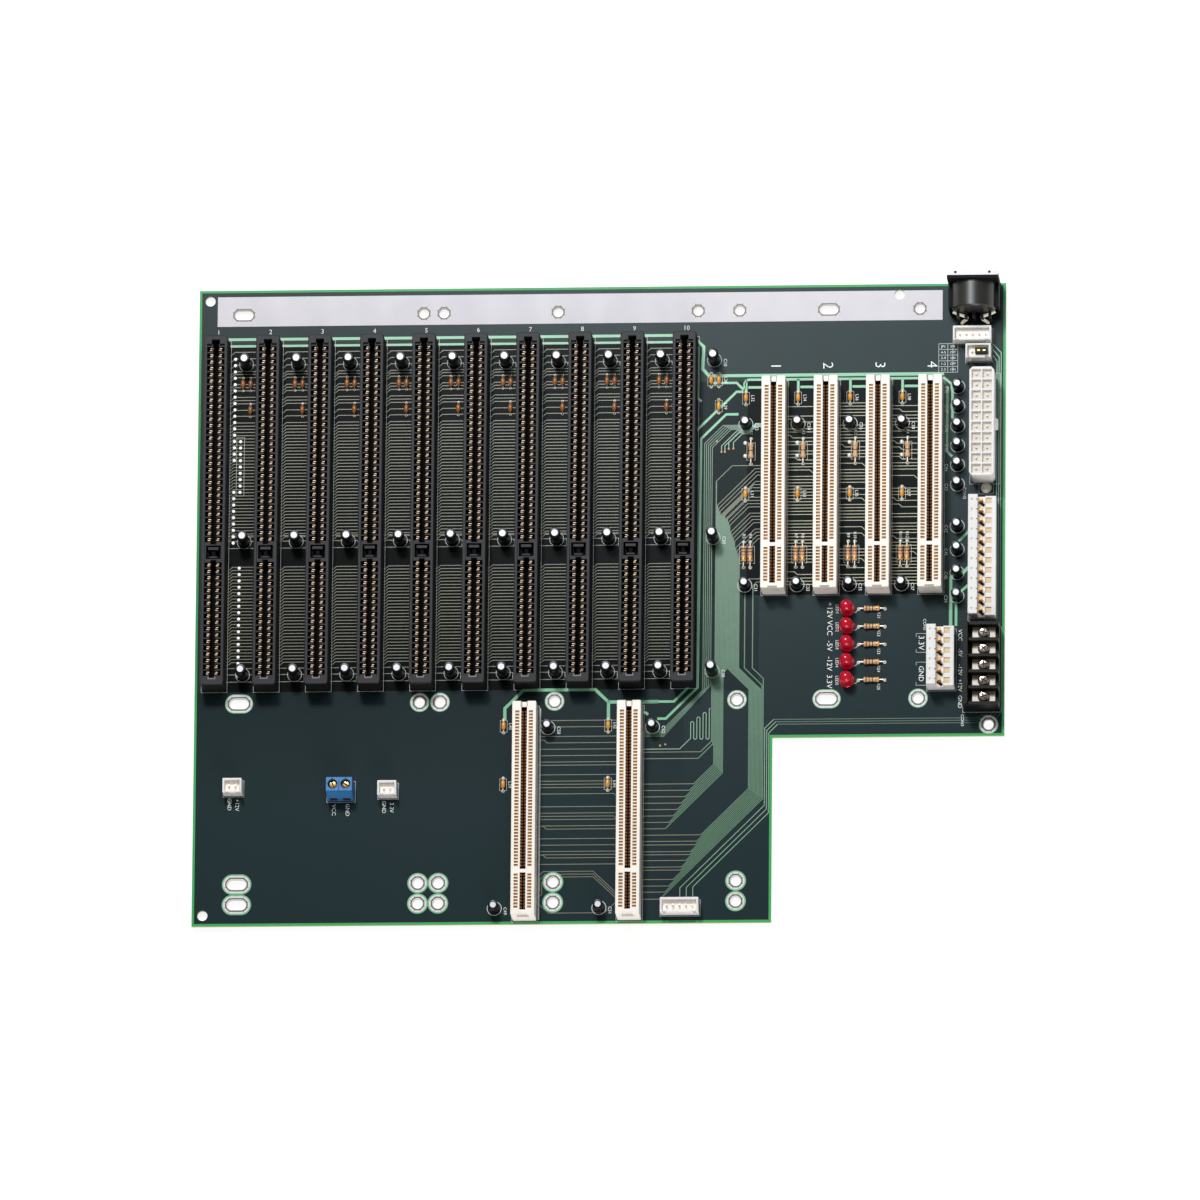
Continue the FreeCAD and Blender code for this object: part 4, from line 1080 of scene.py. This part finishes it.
# Print: outlines and plain labels, which read downwards
def around(box, grow):
    (lowX, lowY, _), (highX, highY, _) = box
    left, right, foot, head = lowX - grow, highX + grow, lowY - grow, highY + grow
    return [(left, foot), (right, foot), (right, head), (left, head)]


printLift = 0.03


def letters(name, labels, look):
    bm = bmesh.new()
    for words, x, y, size, turn in labels:
        line = bpy.data.curves.new("words", "FONT")
        line.body = words
        line.size = size
        line.align_x = "CENTER"
        line.align_y = "CENTER"
        line.resolution_u = 2
        line.extrude = 0.012
        line.offset = -0.009 * size  # thin strokes
        mesh = meshed(line)
        spot = Matrix.Translation((x, y, boardTop + printLift))
        mesh.transform(spot @ Matrix.Rotation(math.radians(turn), 4, "Z"))
        bm.from_mesh(mesh)
        bpy.data.meshes.remove(mesh)
    for face in bm.faces:
        face.material_index = 0
    settle(bm, name, [look])


def buildPrint():
    lines, labels = [], []
    pen, canRing = 0.2, 2.75
    framed = ("supply_socket", "outlet_header", "spare_header", "terminal_block", "wire_terminal")
    circle = [(canRing * math.cos(a * math.pi / 14), canRing * math.sin(a * math.pi / 14)) for a in range(28)]
    for node in nodes:
        if "slot_" in node or node in framed:
            lines.append((pen, around(corners(node), 0.45), True))
        elif node.endswith("_header"):
            lines.append((pen, around(corners(node), 0.35), True))
    count = 0
    for group in canGroups:
        for box in islands(group):
            spot = middle(box)
            count += 1
            ring = [(spot.x + c, spot.y + d) for c, d in circle]
            lines.append((0.18 if "bus" in group else 0.28, ring, True))
            aside = -4.4 if group == "supply_cans" else 4.2
            labels.append((f"C{count}", spot.x + aside, spot.y - 1.0, 1.8, -90))
    count = 0
    for group in ("bus_beads", "local_beads", "host_beads"):
        for box in islands(group):
            count += 1
            if group != "bus_beads" or box[0].x > longAt[-1]:
                lines.append((pen, around(box, 0.5), True))
            labels.append((f"L{count}", middle(box).x + 2.6, middle(box).y, 1.8, -90))
    count = 0
    for group in ("link_resistors", "select_resistors"):
        for box in islands(group):
            count += 1
            lines.append((pen, around(box, 0.35), True))
            labels.append((f"R{count}", middle(box).x, box[1].y + 4.4, 1.7, -90))
    for i, words in enumerate(("+12V", "VCC", "-5V", "-12V", "3.3V")):
        lampY = -2.9 - 7.1 * i
        labels += [(words, 89.5, lampY - 0.4, 3.0, -90), (f"LED{i + 1}", 92.4, lampY, 1.7, -90)]
        labels.append((f"R{i + 21}", 108.6, lampY - 2.6, 1.7, -90))
    for words, y in (("VCC", -13.7), ("-5V", -20.6), ("-12V", -27.5), ("+12V", -33.6), ("GND", -40.2)):
        labels.append((words, 140.2, y, 2.3, -90))
    labels += [(*label, -90) for label in (
        ("3.3V", 125.1, -16.6, 3.2), ("GND", 125.1, -28.9, 2.8), ("CON1", 126.4, -9.4, 1.7),
        ("CON2", 141.6, 43.0, 1.7), ("CON3", 141.2, -47.6, 1.7), ("GND", -143.4, -78.6, 2.2),
        ("+12V", -140.4, -78.9, 2.2), ("VCC", -102.7, -81.2, 2.2), ("GND", -97.4, -81.2, 2.2),
        ("GND", -83.2, -80.2, 2.2), ("3.3V", -80.2, -80.4, 2.2),
    )]
    labels += [(str(i + 1), x, 110.2, 2.6, 0) for i, x in enumerate(longAt)]
    labels += [(str(i + 1), x, 94.6, 5.8, -90) for i, x in enumerate(shortAt)]
    for low, high in ((-20.4, -12.9), (-33.5, -24.3)):
        lines.append((pen, [(127.2, high), (123.2, high), (123.2, high - 1.2)]))
        lines.append((pen, [(123.2, low + 1.2), (123.2, low), (127.2, low)]))
    for x in (131.4, 134.9, 136.9, 138.8):
        lines.append((pen, [(x, 91.4), (x, 102.9)]))
    for i in range(6):
        lines.append((pen, [(131.4, 91.4 + 2.3 * i), (138.8, 91.4 + 2.3 * i)]))
    table = (("2-3", "ON"), ("1-2", "OFF"), ("3-4", "ON"), ("4-5", "OFF"), ("JP1", "SW"))
    for i, (words, other) in enumerate(table):
        labels += [(words, 133.2, 92.5 + 2.3 * i, 1.5, 0), (other, 136.9, 92.5 + 2.3 * i, 1.3, 0)]
    lines.append((pen, [(147.3, 42.6), (152.9, 42.6), (152.9, 47.2), (147.3, 47.2)], True))
    lines.append((0.35, [(-22.6, -41.4), (-22.6, -125.4)]))
    lines.append((0.16, [(-142.3, 44.5), (-139.3, 44.5), (-139.3, 67.9), (-142.3, 67.9)], True))
    ribbons("print_lines", lines, dimInk, boardTop + printLift, 0.02)
    letters("print_labels", labels, printInk)
    print("print laid", len(labels))


# Tails and solder under the board
def buildTails():
    s = {"drop": 1.15, "pin": 0.2}
    for x in longAt:
        for way in ways(longSlot):
            joints.extend((x + side * 1.9, -33.6 + way) for side in (-1, 1))
    for x, foot in [(x, 3.2) for x in shortAt] + [(x, -125.8) for x in hostAt]:
        for i, way in enumerate(ways(shortSlot)):
            wide = 3.1 if i % 2 else 1.3
            joints.extend((x + side * wide, foot + way) for side in (-1, 1))
    for group in canGroups:
        for box in islands(group):
            joints.extend((middle(box).x + side * 1.0, middle(box).y) for side in (-1, 1))
    for group in [node for node in nodes if node.endswith(("_pins", "_posts", "_screws"))]:
        joints.extend((middle(box).x, middle(box).y) for box in islands(group))
    joints.extend((146.8 + 4.2 * side, 49.8 + 4.2 * i) for side in (0, 1) for i in range(10))
    small = [(0, 0.1), (0.6, 0.1), (0.58, -0.05), (0.26, -0.55), (s["pin"], -s["drop"]), (0, -s["drop"])]
    joint = unit(turned(small, 8))
    scatter(joint, [(x, y, 0) for x, y in joints], "tails_and_solder", [solder], smooth=50)
    print("tails soldered", len(joints))


# Moulded parts whose packed form is kept: rounded edges and their own finish
def soften(node, look, width=0.2):
    for holder in nodes[node].material_slots:
        holder.material = look.material
    weld = nodes[node].modifiers.new("weld", "WELD")
    weld.merge_threshold = 0.000002
    ease = nodes[node].modifiers.new("ease", "BEVEL")
    ease.width = width * metre
    ease.segments = 2
    ease.limit_method = "ANGLE"
    ease.angle_limit = math.radians(35)


for holder in nodes["circuit_board"].material_slots:
    holder.material = laminate.material
for node in nodes:
    if node in ("outlet_header", "spare_header"):
        continue
    if node.endswith("_header") or node == "supply_socket":
        soften(node, whiteMoulding, 0.16)
    elif node.endswith("_pins"):
        soften(node, tinnedMetal, 0.1)
    elif node.endswith("_posts"):
        soften(node, postMetal, 0.1)
softened = {
    "switch_jumper": (blackPlastic, 0.15), "terminal_block": (blackPlastic, 0.2),
    "wire_terminal": (blueMoulding, 0.2), "terminal_plates": (dullPlate, 0.12),
    # the socket's contacts take painted shade
    "keyboard_socket_shield": (tinnedMetal, 0.1), "keyboard_socket_contacts": (paintedShade, 0.1),
}
for node, (look, width) in softened.items():
    soften(node, look, width)


# Headers with tall blades: a lock wall, a row of blades in a shaded trough, and a guard with square windows
def buildBladeHeader(node):
    s = {"lockWall": 3.7, "base": 3.4, "guard": 4.2, "guardHeight": 7.6, "liner": 6.8,
         "window": 2.3, "windowIn": 0.3, "windowAside": 0.1, "depth": 0.5}
    low, high = corners(node)
    posts = [middle(box).y for box in islands(node + "_posts")]
    top = low.z + s["guardHeight"]
    start, end = low.x + s["lockWall"], high.x - s["guard"]
    section = [(low.x, low.z), (high.x, low.z), (high.x, top), (end, top), (end, low.z + s["base"]),
               (start, low.z + s["base"]), (start, high.z), (low.x, high.z)]
    body = bmesh.new()
    side = body.faces.new([body.verts.new((x, low.y, z)) for x, z in section])
    extrude(body, [side], (0, high.y - low.y, 0))
    bmesh.ops.bevel(
        body, geom=body.edges[:], offset=0.15, segments=2, affect="EDGES", profile=0.5, material=-1,
    )
    cuts = bmesh.new()
    for y in posts:
        x, half, aside = end + s["windowIn"], s["window"] / 2, s["windowAside"]
        block(cuts, (x, y - half + aside, top - s["depth"]), (x + s["window"], y + half + aside, top + 1))
        block(cuts, (start - 0.5, y - 0.3, high.z - 0.7), (start + 0.5, y + 0.2, high.z + 1))
        block(cuts, (low.x + 1.2, y - 0.4, high.z - 0.3), (low.x + 1.75, y + 0.4, high.z + 1))
    # the windows and notches take the beige, painted shade
    body = carve(body, cuts, 1)
    settle(body, f"{node}_dressed", [whiteMoulding, beigeRecessShade], (node,))
    # the trough between the walls, its liner lighter and glowing, painted light, with a slanting dark hole
    # beside every blade, painted shade
    trough = bmesh.new()
    slant = Matrix.Rotation(math.radians(-38), 3, "Z")
    top = low.z + s["liner"]
    block(trough, (start - 0.1, low.y + 0.2, low.z + 1), (end + 0.1, high.y - 0.2, top))
    for y in posts:
        hole = block(trough, (-1.25, -0.55, top - 0.1), (1.25, 0.55, top + 0.04))
        bmesh.ops.rotate(trough, cent=(0, 0, 0), matrix=slant, verts=hole)
        bmesh.ops.translate(trough, vec=((start + end) / 2, y - 1.0, 0), verts=hole)
        for face in hole[0].link_faces[:] + hole[-1].link_faces[:]:
            face.material_index = 1
    settle(trough, f"{node}_trough", [paintedLitHollow, paintedShade])


def buildSupplyPins():
    s = {"half": 0.34, "foot": 5.0, "top": 13.7, "cell": 1.74, "floor": 13.1, "centre": 148.9, "pitch": 4.2}
    low, high = corners("supply_socket")
    middleY = (low.y + high.y) / 2
    places = [(s["centre"] + side * s["pitch"] / 2, middleY + s["pitch"] * (i - 4.5), 0)
              for side in (-1, 1) for i in range(10)]
    pin = bmesh.new()
    block(pin, (-s["half"], -s["half"], s["foot"]), (s["half"], s["half"], s["top"]))
    tips = [f for f in pin.faces if f.normal.z > 0.5]
    bmesh.ops.inset_region(pin, faces=tips, thickness=0.15, depth=0.3)
    scatter(unit(pin), places, "supply_socket_pins", [dullPlate])
    # a raised floor in each well, greyer than the moulding and glowing: painted shade and painted light
    well = bmesh.new()
    block(well, (-s["cell"], -s["cell"], s["foot"]), (s["cell"], s["cell"], s["floor"]))
    scatter(unit(well), places, "supply_socket_wells", [cellShadeAndGlow])


def buildHeaderFloors():
    # floors raised inside the white headers, lighter than the walls and glowing: painted light in the hollows
    s = {"wall": 0.95, "depth": 2.3}
    bm = bmesh.new()
    for node in ("keyboard_header", "switch_header", "fan_header", "feed_header", "panel_header"):
        low, high = corners(node)
        block(bm, (low.x + s["wall"], low.y + s["wall"], low.z + 1),
              (high.x - s["wall"], high.y - s["wall"], high.z - s["depth"]))
    settle(bm, "header_floors", [paintedLitHollow])
    low, high = corners("switch_jumper")
    y = (low.y + high.y) / 2
    clip = bmesh.new()
    for share in (0.28, 0.72):
        x = low.x + (high.x - low.x) * share
        block(clip, (x - 0.5, y - 0.22, high.z - 0.3), (x + 0.5, y + 0.22, high.z + 0.03))
    settle(clip, "jumper_clip", [brassMetal])


# dark blocks on the blue terminal: its wire openings, a seam and two dents, all painted shade
def buildWireTerminal():
    s = {"opening": 2.6, "rise": 1.2, "tall": 4.2, "seam": 0.3, "dentAside": 2.6}
    low, high = corners("wire_terminal")
    bm = bmesh.new()
    for box in islands("wire_terminal_screws"):
        x = middle(box).x
        block(bm, (x - s["opening"] / 2, low.y - 0.04, low.z + s["rise"]),
              (x + s["opening"] / 2, low.y + 0.2, low.z + s["rise"] + s["tall"]))
    x = (low.x + high.x) / 2
    foot, top = high.z - 0.3, high.z + 0.03
    block(bm, (x - s["seam"] / 2, low.y + 1.2, foot), (x + s["seam"] / 2, high.y - 1.4, top))
    for side in (-1, 1):
        dent = x + side * s["dentAside"]
        block(bm, (dent - 0.35, high.y - 1.0, foot), (dent + 0.35, high.y - 0.4, top))
    settle(bm, "wire_terminal_openings", [paintedShade])


# screws: a round head with a recess cut into it, either a cross or one slot; the recess and a dark ring under
# the head are painted shade
def buildScrews(node, look, cross, head):
    s = {"half": 0.28, "deep": 0.7, "crossShare": 0.7, "slotShare": 1.2}
    boxes = islands(node)
    bm = bmesh.new()
    size = boxes[0][1] - boxes[0][0]
    r, tall = min(size.x, size.y) / 2, size.z
    rounded = [(r, tall - head), (r - head * 0.4, tall - head * 0.3), (r - head, tall)]
    body = turned([(0, 0), (r, 0), *rounded, (0, tall)], 24)
    # a dark ring round the foot of the head: painted shadow
    ring = turned([(r - 0.3, -0.05), (r + 0.32, -0.05), (r + 0.32, 0.04), (r - 0.3, 0.04)], 24, True)
    for face in ring.faces:
        face.material_index = 1
    ring = unit(ring)
    cuts = bmesh.new()
    half, long = s["half"], r * s["crossShare" if cross else "slotShare"]
    block(cuts, (-half, -long, tall - s["deep"]), (half, long, tall + 1))
    body = carve(body, cuts, 1)
    if cross:
        cuts = bmesh.new()
        block(cuts, (-long, -half, tall - s["deep"]), (long, half, tall + 1))
        body = carve(body, cuts, 1)
    one = unit(body)
    for i, box in enumerate(boxes):
        turn = Matrix.Rotation(math.radians(20 + 37 * i), 4, "Z")
        stamp(bm, one, [(middle(box).x, middle(box).y, box[0].z)], turn)
        stamp(bm, ring, [(middle(box).x, middle(box).y, box[0].z)])
    settle(bm, f"{node}_dressed", [look, paintedShade], (node,), smooth=40)


# the round socket at the corner: barrel, flange and foot
def buildKeyboardSocket():
    s = {
        "radius": 8.5, "mouth": 6.9, "deep": 8.0, "flange": 2.4, "axis": 11.6, "foot": 6.0, "footWide": 18.4,
        "cheekAside": 9.1, "cheekHalf": 0.7,
        "leg": [(8.2, 0.2, 8.4), (5.6, -1.0, 8.2), (3.0, -1.5, 7.6), (2.8, -2.0, 5.4), (5.0, -2.6, 3.0),
                (5.4, -2.7, 0)],
    }
    low, high = corners("keyboard_socket_body")
    centre = (low.x + high.x) / 2
    long = high.y - low.y
    r = s["radius"]
    floor = long - s["deep"]
    profile = [(0, 0), (r - 0.5, 0), (r, 0.5), (r, long), (s["mouth"], long), (s["mouth"], floor), (0, floor)]
    body = laid(turned(profile, 48))
    bmesh.ops.translate(body, vec=(centre, low.y, s["axis"]), verts=body.verts)
    settle(body, "keyboard_socket_barrel", [greyBarrel], ("keyboard_socket_body",),
           smooth=40)
    frameBlock = bmesh.new()
    plate = bmesh.new()
    block(plate, (low.x, high.y - s["flange"], low.z), (high.x, high.y, high.z))
    hole = laid(turned([(0, -1), (r - 0.05, -1), (r - 0.05, 40), (0, 40)], 48))
    bmesh.ops.translate(hole, vec=(centre, low.y, s["axis"]), verts=hole.verts)
    plate = carve(plate, hole)
    frameBlock.from_mesh(unit(plate))
    block(frameBlock, (centre - s["footWide"] / 2, low.y, low.z),
          (centre + s["footWide"] / 2, high.y - 0.5, low.z + s["foot"]))
    for side in (-1, 1):
        x = centre + side * s["cheekAside"]
        block(frameBlock, (x - s["cheekHalf"], low.y + 0.8, low.z),
              (x + s["cheekHalf"], high.y - 0.5, s["axis"] + 1.5))
    settle(frameBlock, "keyboard_socket_frame", [socketBlack])
    lip = bmesh.new()
    shieldLow, edge = corners("keyboard_socket_shield")
    block(lip, (shieldLow.x, edge.y - 1.7, edge.z), (edge.x, edge.y, edge.z + 0.35))
    settle(lip, "keyboard_shield_lip", [shieldTin])
    legs = bmesh.new()
    for side in (-1, 1):
        stamp(legs, tube([(side * x, y, z) for x, y, z in s["leg"]], 0.62), [(centre, low.y, 0)])
    settle(legs, "keyboard_shield_legs", [legTin], smooth=60)
    # two dark discs on the lip stand for its dents: painted shade
    dent = unit(turned([(0, -0.1), (0.55, -0.1), (0.55, 0.02), (0, 0.02)], 12))
    places = [(centre + side * 6.6, edge.y - 0.6, edge.z + 0.36) for side in (-1, 1)]
    scatter(dent, places, "keyboard_shield_dent_shades", [blackPlastic])


buildBladeHeader("outlet_header")
buildBladeHeader("spare_header")
buildSupplyPins()
buildHeaderFloors()
buildWireTerminal()
buildScrews("terminal_screws", screwSteel, True, 0.4)
buildScrews("wire_terminal_screws", brassMetal, False, 0.3)
buildKeyboardSocket()
print("connectors dressed")

buildLands()
buildTracks()
buildPrint()
buildTails()

# Camera: above the board, a little towards its lower right
camera = {"distance": 8.0, "tilt": 13.5, "swing": 4.4, "roll": 0.5, "frame": 0.466, "aim": (0.0, 0.002, 0.0)}
swing, tilt = (math.tan(math.radians(camera[name])) for name in ("swing", "tilt"))
back = Vector((swing, -tilt, 1)).normalized()
across = Vector((math.sin(math.radians(-camera["roll"])), 1, 0)).cross(back).normalized()
up = back.cross(across)
lens = bpy.data.cameras.new("camera")
lens.sensor_width = 36
lens.lens = lens.sensor_width * camera["distance"] / camera["frame"]
viewer = link("camera", lens)
viewer.matrix_world = Matrix.Translation(Vector(camera["aim"]) + back * camera["distance"]) @ Matrix(
    (across, up, back)).transposed().to_4x4()
bpy.context.scene.camera = viewer

# Studio: pale floor, one light above the far edge for short dark shadows, a dim even surround
studio = {
    "floorDrop": 1.35, "floorSize": 8.0, "sky": 0.17,
    "front": {"power": 7.0, "at": (0.25, -1.1, 0.45), "size": 0.6, "aim": (0, 0, 0), "tint": (1, 1, 1)},
    "key": {"power": 20.5, "at": (-0.25, 0.8, 1.45), "size": 0.26, "aim": (0, 0, 0), "tint": (1, 1, 1)},
    "fill": {"power": 1.8, "at": (0.03, 0.325, 0.62), "size": 0.3, "aim": (0.08, 0.14, 0),
             "tint": (0.84, 1, 1)},
}
floorMesh = bmesh.new()
bmesh.ops.create_grid(floorMesh, x_segments=1, y_segments=1, size=studio["floorSize"] / 2)
bmesh.ops.translate(floorMesh, vec=(0, 0, -studio["floorDrop"] * metre), verts=floorMesh.verts)
floor = link("floor", unit(floorMesh))
paleFloor = Look("paleFloor", Base_Color=(0.3, 0.3, 0.3, 1), Roughness=0.9)
paleFloor.give(Emission_Color=(1, 1, 1, 1), Emission_Strength=0.85)
floor.data.materials.append(paleFloor.material)

for name in ("key", "fill", "front"):
    s = studio[name]
    lamp = bpy.data.lights.new(name, "AREA")
    lamp.energy = s["power"]
    lamp.size = s["size"]
    lamp.color = s["tint"]
    holder = link(name, lamp)
    holder.location = s["at"]
    holder.rotation_mode = "QUATERNION"
    holder.rotation_quaternion = (Vector(s["aim"]) - Vector(s["at"])).to_track_quat("-Z", "Y")
world = bpy.data.worlds.new("surround")
world.use_nodes = True
world.node_tree.nodes["Background"].inputs["Color"].default_value = (1, 1, 1, 1)
world.node_tree.nodes["Background"].inputs["Strength"].default_value = studio["sky"]
bpy.context.scene.world = world
bpy.context.scene.view_settings.view_transform = "Standard"

print("stage set")
